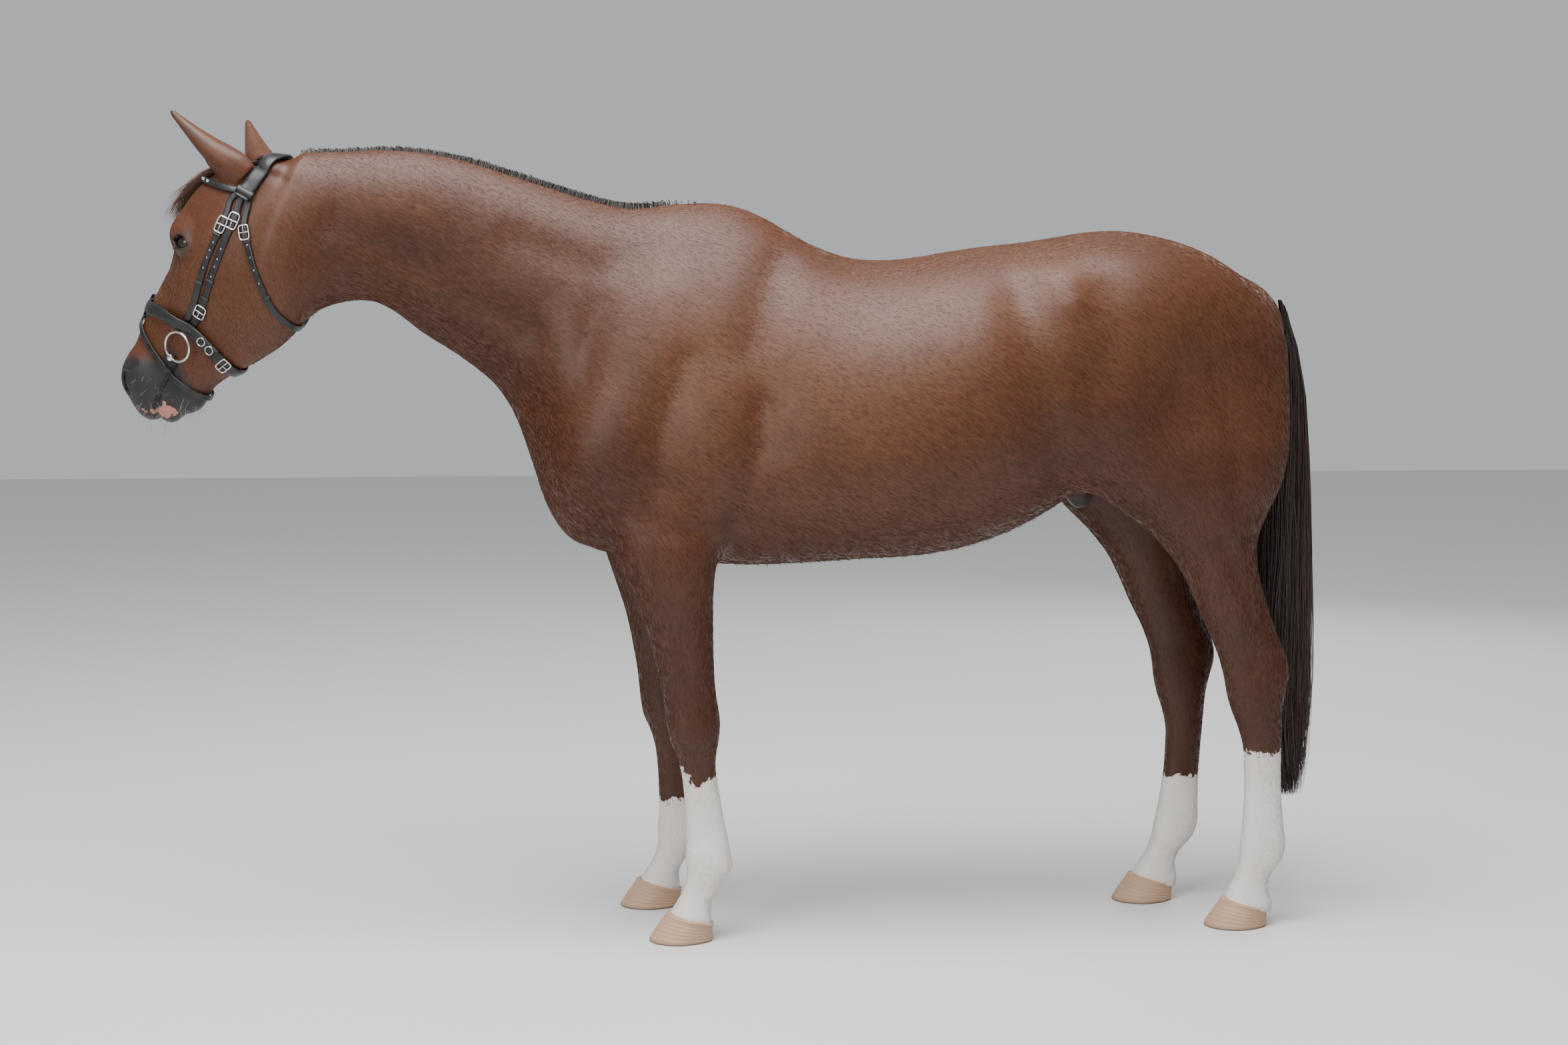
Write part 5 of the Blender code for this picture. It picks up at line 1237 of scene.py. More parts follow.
def markings(p):
    """The four numbers that the coat's material reads, at each place."""
    q = in_head(p)
    m = folded(q)
    on_head = p[:, 0] < -1.05
    s, y, d = m.T
    muzzle = ease(-0.016, 0.020, s - through(MUZZLE_EDGE, d))
    eye = np.linalg.norm(m - EYE_PLACE, axis=1)
    rim = 1 - ease(0.0015, 0.0055, np.abs(eye_opening(m)) + 3.0 * np.maximum(eye - 0.031, 0))
    lids = (1 - ease(0.028, 0.050, eye + 0.25 * np.abs(m[:, 2] - EYE_PLACE[2]))) * 0.6
    nostril = 1 - ease(0.008, 0.016, from_path(m, NOSTRIL))
    bare = np.maximum.reduce([muzzle, rim, lids, nostril]) * on_head
    for name in EARS:
        base, along, face, across = ear_frame(name)
        w = q - base
        t, u, v = w @ along, w @ across, w @ face
        deep = through(EAR_DEEP, np.clip(t, 0, EAR_LONG))
        cup = ease(0.05, 0.09, t) * ease(-0.7, -0.2, v / deep) * (t < EAR_LONG + 0.01)
        cup *= (np.abs(u) < through(EAR_WIDE, np.clip(t, 0, EAR_LONG)) - 0.002) & (np.abs(v) < 0.05)
        bare = np.maximum(bare, 0.55 * cup)
    pink = sum(blot(m, centre, radius) for centre, radius in LIP_PINK) * 1.15 * on_head
    sheath = blot(p, SHEATH_DARK, (0.060, 0.06, 0.040))
    bare = np.maximum(bare, np.clip(1.5 * sheath - 0.3, 0, 1))
    # The tone starts darker towards the bottom: painted shade on the belly and the legs, as if lit from
    # above.
    tone = BASE_TONE - 0.50 * (1 - ease(0.55, 1.05, p[:, 2]))
    for amount, centre, radii in PAINTED_HIGHLIGHTS_AND_SHADE:
        tone = tone + amount * blot(folded(p), centre, radii)
    tone = tone + 0.15 * on_head * ease(-0.2, 0.1, s) * (1 - ease(0.2, 0.3, s))
    return {"sock": sock_height(p), "bare": np.clip(bare, 0, 1), "pink": pink, "tone": tone}


# %% The skin as a piece
FLESH = ["head", "neck", "trunk"] + [f"ear_{side}" for side in EYES]
FLESH += [f"leg_{end}_{side}" for end in ("front", "hind") for side in EYES]
skin = piece("skin", SKIN_POINTS, SKIN_FACES, coat_skin, "coat", FLESH, markings(SKIN_POINTS))

# %% [markdown]
# ## Eyes
# A horse's eye is large and dark, and stands at the side of the head, so that the pupil is a flat oval
# that hardly shows in the brown. The ball is a sphere turned to look outwards, with the pupil's shape
# given to the material as a number.


# %% Eyeballs
def full_turn(count):
    """Angles of equal steps round a circle."""
    return np.linspace(0, 2 * np.pi, count, endpoint=False)


def face_outwards(made, weld=0.0):
    """Turns the faces outwards, after points that lie closer than weld are made one."""
    work = bmesh.new()
    work.from_mesh(made.data)
    if weld:
        bmesh.ops.remove_doubles(work, verts=work.verts, dist=weld)
    bmesh.ops.recalc_face_normals(work, faces=work.faces)
    work.to_mesh(made.data)
    work.free()


def eyeball(name, side):
    """Sphere of rings about the way the eye looks. The pupil grows with the squares of two slopes."""
    polar, turn = np.meshgrid(np.linspace(0, np.pi, 49), full_turn(64), indexing="ij")
    along, up, out = np.sin(polar) * np.cos(turn), np.sin(polar) * np.sin(turn), np.cos(polar)
    bulge = 1 + 0.035 * np.exp(-((polar / 0.5) ** 2))
    radius = (EYE_RADIUS - 0.0006) * bulge
    q = (along * radius)[..., None] * EYE_LONG + (up * radius)[..., None] * EYE_HIGH
    q = q + (out * radius)[..., None] * EYE_LOOK
    q = (np.array(EYE_PLACE) + q) * (1, side, 1)
    faces = tube_faces(*polar.shape)
    faces = faces if side < 0 else faces[:, ::-1]
    pupil = (along / 0.42) ** 2 + (up / 0.20) ** 2
    values = {"pupil": pupil.ravel() * 0.2, "rim": (polar.ravel() - 0.80)}
    points = from_head(q.reshape(-1, 3))
    ball = piece("eyeball_" + name, points, faces, ball_finish, "eye", ["eye_" + name], values)
    face_outwards(ball, weld=1e-6)


for name, side in EYES.items():
    eyeball(name, side)

# %% [markdown]
# ## Hooves
# A hoof is a slanting cone of horn. Growth rings run round it, and it is worn at the lower edge. Behind,
# the soft bulbs of the heel close it. Each hoof is a stack of rings from the coronet down to the sole.


# %% Hooves
HOOF_RINGS, HOOF_AROUND = 40, 96
SHRINK = 0.0012  # how far the horn stays inside its solid


def hoof(name):
    """Rings from the coronet to the sole: an oval that grows downwards, its rings laid in as low ridges."""
    x, y = HOOVES[name]
    rings, around = HOOF_RINGS, HOOF_AROUND
    down, turn = np.meshgrid(np.linspace(0, 1, rings), full_turn(around), indexing="ij")
    cos, sin = np.cos(turn), np.sin(turn)
    heel = 1 - 0.12 * np.clip(cos, 0, 1)
    ridge = 0.0006 * np.sin(down * 46 + 0.8 * np.sin(turn * 2)) * ease(0.05, 0.2, down)
    ridge = ridge + 0.0007 * np.sin(turn * 3 + 1)
    band = 0.0022 * np.exp(-(((down - 0.06) / 0.05) ** 2))
    worn = 0.0035 * ease(0.95, 1.0, down)
    long = 0.053 + 0.021 * down + ridge + band - worn - SHRINK
    wide = 0.050 + 0.013 * down + ridge + band - worn - SHRINK
    middle = x + 0.052 - 0.024 * down
    px, py = middle + long * cos, y + wide * sin * heel
    cleft = 0.010 * np.exp(-((sin / 0.16) ** 2)) * ease(0.2, 1.0, cos) * (1 - ease(0.3, 0.9, down))
    px = px - cleft
    top = CORONET_FRONT + 0.0005 - CORONET_SLOPE * (px - x)
    z = top * (1 - down) + 0.0003 * down
    points = np.stack([px, py, z], -1).reshape(-1, 3)
    n = rings * around
    rim = np.arange(n - around, n)
    inner = points[rim] * (0.86, 0.86, 1) + np.array((x + 0.028, y, 0)) * (0.14, 0.14, 0) + (0, 0, 0.0045)
    frog = np.array((x + 0.045, y, 0.0040))
    lid = points[:around] * (0.9, 0.9, 1) + np.array((x + 0.052, y, 0)) * (0.1, 0.1, 0) + (0, 0, 0.001)
    lid_centre = np.array((x + 0.052, y, CORONET_FRONT - CORONET_SLOPE * 0.052 + 0.001))
    points = np.concatenate([points, inner, [frog], lid, [lid_centre]])
    ring, lid_start = np.arange(around), n + around + 1
    after = (ring + 1) % around
    step_in = np.stack([rim, rim[after], n + after, n + ring], 1)[:, ::-1]
    sole = fan(np.append(n + ring, n + around))
    top_step = np.stack([ring, after, lid_start + after, lid_start + ring], 1)
    cover = fan(np.append(lid_start + ring, lid_start + around))
    faces = [np.concatenate([tube_faces(rings, around), step_in, top_step]), np.concatenate([sole, cover])]
    worn_sole = [ease(0.86, 1.0, down).ravel() * 0.8, np.ones(around + 1), np.zeros(around + 1)]
    values = {"worn": np.concatenate(worn_sole)}
    face_outwards(piece("horn_" + name, points, faces, horn, "hoof", ["hoof_" + name], values))


for name in HOOVES:
    hoof(name)

# %% [markdown]
# ## Long hair
# Hair that hangs is built of locks: thin three-sided blades that taper to a point along a path. The paths
# are worked out all at once. Every lock carries how far along it a point is, and a number of its own, and
# the hair's material turns these into tone. For a bake, each lock gets a small patch on a flat map, at the
# place where its root lies on an unwrap of the body: six views along the axes for each side of the body.

# %% Map of the body, and locks along paths
MAP_WIDE = 6.5  # metres of body that the map's width stands for
PATCH = 0.003  # side of one lock's patch on the map


def unwrap(p, normal):
    """Place on the map of a point of the body: flat charts by the way its surface faces, for either side."""
    size = np.abs(normal)
    sideways = size[:, 1] >= np.maximum(size[:, 0], size[:, 2]) * 0.8
    axis = np.where(sideways, 1, np.where(size[:, 0] > size[:, 2], 0, 2))
    positive = normal[np.arange(len(p)), axis] > 0
    right = p[:, 1] > 0
    x, y, z = p[:, 0] + 1.60, np.abs(p[:, 1]), p[:, 2]
    u = np.where(axis == 0, 5.80 + y * 0.7 + 0.33 * positive, x + 2.9 * positive)
    v = np.where(axis == 2, 3.95 + y + 0.45 * right, z + 1.95 * right)
    return np.stack([u, v], 1) / MAP_WIDE


def locks(name, paths, wide, facing, finish, slot, stands_for, tones):
    """Blades of three sides along paths[lock, place, xyz], with half widths wide[lock, place]."""
    count, places = paths.shape[:2]
    ahead = unit(np.gradient(paths, axis=1))
    side = unit(np.cross(ahead, facing))
    up = np.cross(side, ahead)
    corner = np.array([(-1, 0), (1, 0), (0, 1)])
    points = paths[:, :, None] + wide[:, :, None, None] * (
        side[:, :, None] * corner[:, 0][:, None] + up[:, :, None] * corner[:, 1][:, None]
    )
    one = tube_faces(places, 3)
    start = np.arange(count)[:, None, None] * places * 3
    quads = (one[None] + start).reshape(-1, 4)
    ends = np.array([[2, 1, 0], np.array([0, 1, 2]) + (places - 1) * 3])
    caps = (ends[None] + start).reshape(-1, 3)
    along = np.broadcast_to(np.linspace(0, 1, places)[None, :, None], (count, places, 3))
    tone = np.broadcast_to(tones[:, None, None], along.shape)
    place = unwrap(paths[:, 0], unit(facing[:, 0]))[:, None, None] + PATCH * np.stack(
        np.broadcast_arrays(np.array([0.0, 1.0, 0.5]) - 0.5, along - 0.5), -1
    )
    values = {"along": along.ravel(), "lock": tone.ravel()}
    return piece(
        name, points.reshape(-1, 3), [quads, caps], finish, slot, stands_for, values, place.reshape(-1, 2)
    )


def off_the_coat(paths, gap):
    """The paths, with places in the body or nearer to it than the gap drawn out to the gap."""
    flat = paths.reshape(-1, 3)
    gap = np.broadcast_to(gap, paths.shape[:2]).ravel()
    distance = coarse_body(flat)
    close = distance < gap
    for _ in range(3):
        slope = slope_of(coarse_body, flat[close])
        steep = np.maximum((slope**2).sum(1), 0.05)
        flat[close] -= slope * ((coarse_body(flat[close]) - gap[close]) / steep)[:, None]
    return flat.reshape(paths.shape)


def waves(rng, count, places, size):
    """Slow sideways waves along each lock, still at its root."""
    t = np.linspace(0, 1, places)
    phase, speed = rng.uniform(0, 2 * np.pi, (3, count, 1)), rng.uniform(0.6, 1.4, (3, count, 1)) * 1.3
    bend = np.sin(phase + speed * 2 * np.pi * t) - np.sin(phase)
    return np.moveaxis(bend, 0, -1) * (size * t)[None, :, None]


# %% [markdown]
# The tail's hair roots on the dock, the bony part under the tail's top, and hangs straight down to below
# the hocks. The locks fill an oval column that is narrow at the dock and fullest halfway down.

# %% Tail
TAIL = [
    (1.435, 1.136, 1.150, 0.018), (1.41, 1.140, 1.168, 0.030), (1.36, 1.140, 1.186, 0.040),
    (1.30, 1.135, 1.197, 0.044), (1.22, 1.125, 1.207, 0.048), (1.10, 1.100, 1.217, 0.052),
    (0.90, 1.088, 1.226, 0.057), (0.70, 1.080, 1.231, 0.060), (0.50, 1.082, 1.231, 0.054),
    (0.38, 1.100, 1.225, 0.042), (0.30, 1.14, 1.216, 0.025), (0.26, 1.16, 1.205, 0.012),
]


def tail_hair(count=2700, places=13):
    """Each lock keeps its angle and its share of the radius while the column narrows and widens round it."""
    rng = np.random.default_rng(4)
    height, front, rear, half = np.array(TAIL)[::-1].T
    top = rng.uniform(1.06, 1.43, count)
    end = 0.275 + 0.26 * rng.random(count) ** 1.8
    t = np.linspace(0, 1, places)
    z = top[:, None] + (end - top)[:, None] * t
    share, turn = np.sqrt(rng.uniform(0.06, 1.0, (count, 1))), rng.uniform(0, 2 * np.pi, (count, 1))
    grow_out = 0.35 + 0.65 * ease(0, 0.16, top[:, None] - z)
    share = share * grow_out
    front, rear, half = (through(list(zip(height, column)), z) for column in (front, rear, half))
    clump = 0.06 * np.sin(turn * 9 + 14 * t)
    x = (front + rear) / 2 + (rear - front) / 2 * share * np.cos(turn + clump)
    y = half * share * np.sin(turn + clump)
    paths = np.stack([x, y, z], -1) + waves(rng, count, places, 0.006) * (1, 1, 0.2)
    paths = off_the_coat(paths, 0.0035)
    wide = rng.uniform(0.0011, 0.0021, (count, 1)) * (1 - 0.9 * t**3) * ease(-0.2, 0.1, t)
    facing = np.stack([np.cos(turn) + 0 * z, np.sin(turn) + 0 * z, 0 * z], -1)
    shade = np.clip(rng.random(count) ** 2.2 + 0.35 * (share[:, -1] > 0.9) * (x[:, 0] > 1.15), 0, 1)
    locks("tail_hair", paths, wide, facing, tail_finish, "tail_hair", ["tail"], shade)


tail_hair()

# %% [markdown]
# The mane is pulled short. It roots along the crest, stands up a little, and falls over to the far side.
# From the near side only a bristly fringe shows above the neck. The locks of the forelock root between
# the ears and arch over the forehead.

# %% Mane and forelock
# Along the crest, as (x, length) and (x, height of the arch).
MANE_LONG = [(-1.1, 0.10), (-1.0, 0.135), (-0.6, 0.14), (-0.36, 0.10), (-0.28, 0.05), (-0.2, 0.02)]
MANE_RISE = [(-1.1, 0.018), (-0.95, 0.030), (-0.4, 0.030), (-0.25, 0.016)]


def mane_hair(count=3700, places=9):
    """Rise of a few centimetres over the crest, then a fall to the right that grows with the square."""
    rng = np.random.default_rng(5)
    t = np.linspace(0, 1, places)
    start = rng.uniform(-1.075, -0.325, (count, 1)) + rng.exponential(0.028, (count, 1))
    start = np.minimum(start, -0.20)
    long = through(MANE_LONG, start) * rng.uniform(0.75, 1.1, start.shape)
    spring = rng.uniform(0.10, 1.0, start.shape) ** 1.4 * through(MANE_RISE, start)
    side = rng.uniform(-0.006, 0.010, start.shape)
    x = start + long * t * rng.uniform(-0.05, 0.32, start.shape)
    y = side + 0.001 + long * (0.16 * t + 0.45 * t**2)
    z = through(NECK_CREST, start) - 0.006 + 3.4 * spring * t * (1 - t) ** 1.2 - long * 0.95 * t**1.9
    paths = np.stack([x, y, z], -1) + waves(rng, count, places, 0.005)
    paths[:, 1:] = off_the_coat(paths[:, 1:], rng.uniform(0.002, 0.012, (count, 1)))
    wide = rng.uniform(0.0005, 0.0010, start.shape) * (1 - 0.9 * t**2)
    facing = np.stack([0 * x, 0.3 + t + 0 * x, 1.0 - 0.5 * t + 0 * x], -1)
    tones = rng.random(count) ** 1.3
    locks("mane_hair", paths, wide, facing, mane_finish, "mane_hair", ["mane"], tones)


def forelock_hair(count=900, places=10):
    """Arch from between the ears over the forehead, a few centimetres off it, thinning to loose points."""
    rng = np.random.default_rng(6)
    t = np.linspace(0, 1, places)
    start = rng.uniform(-0.245, -0.170, (count, 1))
    side = rng.normal(0, 0.014, (count, 1))
    end = rng.uniform(-0.085, -0.012, (count, 1))
    s = start + (end - start) * t
    y = side + (side * 0.9 + rng.normal(0.004, 0.007, (count, 1))) * t
    arch = rng.uniform(0.3, 1.0, (count, 1)) * 0.034
    d = through(FACE, s) + 0.002 + arch * (1 - (1 - t) ** 3) * (1 - 0.25 * t)
    paths = from_head(np.stack([s, y, d], -1).reshape(-1, 3)).reshape(count, places, 3)
    paths = off_the_coat(paths + waves(rng, count, places, 0.004), 0.003)
    wide = rng.uniform(0.0006, 0.0012, (count, 1)) * (1 - 0.92 * t**2)
    out = from_head(np.array((0.0, 0, 1)))[0] - from_head(np.zeros(3))[0]
    facing = np.broadcast_to(out, paths.shape)
    tones = rng.random(count)
    locks("forelock_hair", paths, wide, facing, forelock_finish, "forelock_hair", ["forelock"], tones)


mane_hair()
forelock_hair()

# %% [markdown]
# ## Coat
# The coat is short and lies flat, so most of it is the skin's own grain. Over all of the body lie small
# pointed tufts that follow the lie of the hair: back and down on the trunk, straight down on the legs,
# and down the face. They are shortest on the face and the feet. Their tips stay inside the solids.

# %% Lie of the coat
TRUNK_WAY, RUMP_WAY, LEG_WAY = np.array([(0.86, 0, -0.5), (0.55, 0, -0.83), (0.10, 0, -1)])


def lie_of(p):
    """The way the hair points: a blend of the ways on trunk, rump, legs and face."""
    rump = ease(0.55, 0.95, p[:, 0])[:, None]
    low = (1 - ease(0.72, 1.05, p[:, 2]))[:, None]
    way = TRUNK_WAY * (1 - rump) + RUMP_WAY * rump
    way = way * (1 - low) + LEG_WAY * low
    face = (1 - ease(-1.14, -1.00, p[:, 0]))[:, None]
    face_way = HEAD_AXES[0] * 0.85 - HEAD_AXES[2] * 0.5
    return way * (1 - face) + face_way * face


def areas_of(corner):
    """Twice the area of each triangle."""
    return np.linalg.norm(np.cross(corner[:, 1] - corner[:, 0], corner[:, 2] - corner[:, 0]), axis=1)


def coat_tufts(name, chosen, count, seed):
    """Four-cornered tufts on the chosen faces of the skin: a root of three points in it, and a tip."""
    rng = np.random.default_rng(seed)
    faces = SKIN_FACES[chosen]
    corner = SKIN_POINTS[faces]
    area = areas_of(corner)
    picked = rng.choice(len(faces), count, p=area / area.sum())
    part = rng.random((count, 2))
    part = np.where(part.sum(1, keepdims=True) > 1, 1 - part, part)
    weight = np.concatenate([1 - part.sum(1, keepdims=True), part], 1)
    root = (corner[picked] * weight[..., None]).sum(1)
    normal = unit((SKIN_NORMALS[faces[picked]] * weight[..., None]).sum(1))
    way = lie_of(root)
    way = unit(way - normal * (way * normal).sum(1, keepdims=True) + 0.10 * rng.normal(size=root.shape))
    mark = markings(root)
    small = (1 - ease(-1.2, -0.95, root[:, 0])) + (1 - ease(0.3, 0.9, root[:, 2]))
    small = np.clip(small, 0, 1)[:, None]
    keep = (mark["bare"] < 0.35) & (mark["pink"] < 0.3) & (root[:, 2] > 0.03)
    long = rng.uniform(0.75, 1.25, (count, 1)) * (0.015 - 0.008 * small)
    half = rng.uniform(0.7, 1.2, (count, 1)) * (0.00072 - 0.00027 * small)
    rise = rng.uniform(0.1, 1.0, (count, 1)) ** 1.5 * (0.0020 - 0.0012 * small)
    tip = root + way * long
    tip += normal * (rise - np.clip(skin_field(tip)[:, None], -0.003, 0.003))
    keep &= np.abs(skin_field(root)) < 0.0015
    across = unit(np.cross(way, normal))
    below = root - normal * 0.0006
    points = np.stack([below - across * half, below + across * half, below + normal * 0.0011, tip], 1)[keep]
    n = len(points)
    one = np.array([(0, 2, 3), (2, 1, 3), (1, 0, 3), (0, 1, 2)])
    made = (one[None] + 4 * np.arange(n)[:, None, None]).reshape(-1, 3)
    values = {key: np.repeat(value[keep], 4) for key, value in mark.items()}
    # Each tuft keeps its root's tone, painted highlights and painted shade included, and gets a random change
    # of its own.
    values["tone"] = values["tone"] + np.repeat(rng.normal(0, 0.16, n), 4)
    patch = PATCH * (np.array([(0, 0), (1, 0), (0.5, 0.2), (0.5, 1)]) - 0.5)
    uv = unwrap(root, normal)[keep][:, None] + patch
    tufts = piece(name, points.reshape(-1, 3), made, coat_hair, "coat", (), values, uv.reshape(-1, 2))
    tufts.data.normals_split_custom_set_from_vertices(np.repeat(normal[keep], 4, 0).tolist())


HEAD_END, LEG_TOP = -1.0, 0.75  # borders of the coat's pieces, as x and as height
STRETCHES = {"neck": (HEAD_END, -0.30), "barrel": (-0.30, 0.50), "rump": (0.50, np.inf)}
middles = SKIN_POINTS[SKIN_FACES].mean(1)
near_side = middles[:, 1] < 0
regions = {"coat_head": middles[:, 0] < HEAD_END}
for part, (low, high) in STRETCHES.items():
    stretch = (middles[:, 0] >= low) & (middles[:, 0] < high) & (middles[:, 2] > LEG_TOP)
    regions[f"coat_{part}_near"] = stretch & near_side
    regions[f"coat_{part}_far"] = stretch & ~near_side
regions["coat_legs"] = (middles[:, 0] >= HEAD_END) & (middles[:, 2] <= LEG_TOP)
TUFTS, OTHER_TUFTS, FIRST_SEED = {"coat_head": 46000, "coat_legs": 44000}, 29000, 20
for number, (name, chosen) in enumerate(regions.items()):
    coat_tufts(name, chosen, TUFTS.get(name, OTHER_TUFTS), FIRST_SEED + number)

# %% [markdown]
# ## Bridle
# Each strap follows the route of its solid. Its middle line and its two edges are drawn to the head at a
# set gap, and its section has rounded edges and, on the noseband, a padded crown. The cheekpieces pass
# under the noseband and rise off the head to end at the ring of the bit. A map along each strap carries the
# stitches.

# %% Straps
# A strap's section: place across in half widths, and height in thicknesses of the leather.
SECTION = np.array([
    (-1, 0.30), (-0.97, 0.72), (-0.90, 1), (-0.55, 1), (0, 1), (0.55, 1),
    (0.90, 1), (0.97, 0.72), (1, 0.30), (0.96, 0), (0, 0), (-0.96, 0),
])


def smooth_route(points, count):
    """Evenly spaced places on the smooth curve through the points."""
    points = np.array(points, float)
    length = np.concatenate([[0], np.cumsum(np.linalg.norm(np.diff(points, axis=0), axis=1))])
    at = np.linspace(0, length[-1], count)
    return np.stack([through(list(zip(length, column)), at) for column in points.T], 1)


def mirrored(route):
    """The route on the other side of the head."""
    return [(s, -y, d) for s, y, d in route]


def band(name, route, wide, thick, lifts=((0, 0.0015), (1, 0.0015)), pad=0.0, count=64, looped=False, side=1,
         stands_for=None):
    """Strap along a route in the head's coordinates; returns where its outer face is and how it lies."""
    route = np.array(route, float) * (1, side, 1)
    level = through(lifts, np.linspace(0, 1, count))
    centre = drawn_to(coarse_body, from_head(smooth_route(route, count)), level)
    if looped:
        centre, level = centre[:-1], level[:-1]
        ahead = unit(np.roll(centre, -1, 0) - np.roll(centre, 1, 0))
    else:
        ahead = unit(np.gradient(centre, axis=0))
    out = unit(slope_of(coarse_body, centre))
    across = unit(np.cross(ahead, out))
    rows = [drawn_to(coarse_body, centre + across * wide / 2 * v, level) for v in (-1, 0, 1)]
    v, high = SECTION.T
    parts = np.stack([v * (v - 1) / 2, 1 - v * v, v * (v + 1) / 2])
    inner = sum(part[:, None] * row[:, None] for part, row in zip(parts, rows))
    tall = high * (thick + pad * np.sqrt(1 - v * v))
    points = inner + out[:, None] * tall[:, None]
    n, k = points.shape[:2]
    metres = np.concatenate([[0], np.cumsum(np.linalg.norm(np.diff(centre, axis=0), axis=1))])
    uv = np.stack(np.broadcast_arrays(metres[:, None], v), -1).reshape(-1, 2)
    middle = points.reshape(-1, 3)
    faces = [tube_faces(n, k, looped)]
    if not looped:
        middle = np.concatenate([middle, points[0].mean(0)[None], points[-1].mean(0)[None]])
        uv = np.concatenate([uv, uv[:1], uv[-1:]])
        faces += [fan([*range(k), n * k])[:, ::-1], fan([*range((n - 1) * k, n * k), n * k + 1])]
    solids = [name] if stands_for is None else stands_for
    piece(name, middle, faces, black_leather, "bridle_leather", solids, uv=uv, uv_name="strap")
    return rows[1] + out * (thick + pad), ahead, across, out, thick + pad


def spot(lie, share):
    """Point on a strap's outer face at a share of its length, with the ways ahead, across and out."""
    i = int(round(share * (len(lie[0]) - 1)))
    return lie[0][i], lie[1][i], lie[2][i], lie[3][i]


HEADPIECE = [
    (-0.150, 0.085, -0.098), (-0.185, 0.076, -0.100), (-0.222, 0.062, -0.100), (-0.25, 0.030, -0.099),
    (-0.262, 0.0, -0.100),
]
BROWBAND = [
    (-0.161, 0.082, -0.084), (-0.154, 0.085, -0.052), (-0.149, 0.080, -0.030), (-0.140, 0.062, 0.004),
    (-0.134, 0.032, 0.024), (-0.132, 0.0, 0.028),
]
HANGER = [
    (-0.158, 0.084, -0.084), (-0.138, 0.0895, -0.078), (-0.115, 0.095, -0.083), (-0.090, 0.098, -0.084),
    (-0.050, 0.104, -0.084), (0.0, 0.104, -0.081), (0.055, 0.098, -0.080), (0.100, 0.082, -0.077),
    (0.146, 0.064, -0.066), (0.168, 0.060, -0.060),
]
CHEEKPIECE = [
    (-0.158, 0.082, -0.096), (-0.138, 0.087, -0.0975), (-0.120, 0.092, -0.1025), (-0.098, 0.096, -0.104),
    (-0.060, 0.100, -0.104), (-0.010, 0.102, -0.104), (0.040, 0.098, -0.102), (0.085, 0.086, -0.100),
    (0.130, 0.069, -0.092), (0.160, 0.062, -0.082), (0.1925, 0.062, -0.072),
]
NOSEBAND = [
    (0.182, 0.0, 0.058), (0.181, 0.030, 0.048), (0.176, 0.055, 0.020), (0.171, 0.062, -0.020),
    (0.172, 0.058, -0.056), (0.180, 0.053, -0.092), (0.196, 0.046, -0.131), (0.212, 0.036, -0.168),
    (0.226, 0.012, -0.192), (0.228, 0.0, -0.194),
]
FLASH = [
    (0.216, 0.0, 0.066), (0.222, 0.022, 0.058), (0.240, 0.042, 0.038), (0.262, 0.048, 0.000),
    (0.280, 0.047, -0.036), (0.297, 0.043, -0.070), (0.306, 0.038, -0.106), (0.312, 0.022, -0.134),
    (0.314, 0.0, -0.142),
]
THROATLASH = [
    (-0.158, 0.080, -0.108), (-0.140, 0.084, -0.1175), (-0.118, 0.087, -0.1225), (-0.090, 0.088, -0.134),
    (-0.060, 0.088, -0.160), (-0.030, 0.087, -0.186), (0.0, 0.083, -0.212), (0.028, 0.075, -0.238),
    (0.050, 0.060, -0.262), (0.066, 0.034, -0.282), (0.074, 0.0, -0.292),
]


def across_head(half):
    """Whole route over or under the head from its half on the left."""
    return mirrored(half) + half[::-1][1:]


def round_head(half):
    """Whole closed route round the nose from its half on the left."""
    return mirrored(half)[::-1] + half[1:]


LAID, OVER = ((0, 0.0015), (1, 0.0015)), ((0, 0.0050), (1, 0.0050))  # gaps to the coat
straps = {
    "headpiece": band("headpiece", across_head(HEADPIECE), 0.036, 0.0035, ((0, 0.0065), (1, 0.0065))),
    "browband": band("browband", across_head(BROWBAND), 0.015, 0.003, ((0, 0.0028), (1, 0.0028)), 0.0012, 90),
    "throatlash": band("throatlash", across_head(THROATLASH), 0.015, 0.003, LAID, count=96),
    "noseband": band("noseband", round_head(NOSEBAND), 0.029, 0.003, OVER, 0.0032, 121, looped=True),
    "flash_strap": band("flash_strap", round_head(FLASH), 0.013, 0.003, OVER, count=109, looped=True),
}
for name, side in EYES.items():
    hanger, cheek = f"noseband_hanger_{name}", f"cheekpiece_{name}"
    straps[hanger] = band(hanger, HANGER, 0.014, 0.0028, LAID, count=56, side=side)
    to_ring = ((0, 0.0015), (0.88, 0.0015), (0.96, 0.0030), (1, 0.0085))
    straps[cheek] = band(cheek, CHEEKPIECE, 0.016, 0.0028, to_ring, count=60, side=side)

# %% [markdown]
# Buckles, keepers, eyelets and the bit are wires and rods of metal, and small loops of leather. They are
# placed by a share of the strap's length, and stand on its outer face.


# %% Buckles, keepers, eyelets and bit
def wire(path, normal, radius, sides=8):
    """Points and faces of a round wire along a closed flat path."""
    ahead = unit(np.roll(path, -1, 0) - np.roll(path, 1, 0))
    side = unit(np.cross(ahead, normal))
    lap = full_turn(sides)[:, None]
    points = path[:, None] + radius * (np.cos(lap) * side[:, None] + np.sin(lap) * normal)
    return points.reshape(-1, 3), tube_faces(len(path), sides, closed=True)


def ring(centre, axis, radius, thick, around=20, sides=6):
    """Points and faces of a ring of wire round an axis."""
    first = unit(np.cross(axis, (0.3, 0.1, 1.0)))
    turn = full_turn(around)[:, None]
    spoke = np.cos(turn) * first + np.sin(turn) * np.cross(axis, first)
    return wire(centre + radius * spoke, axis, thick, sides)


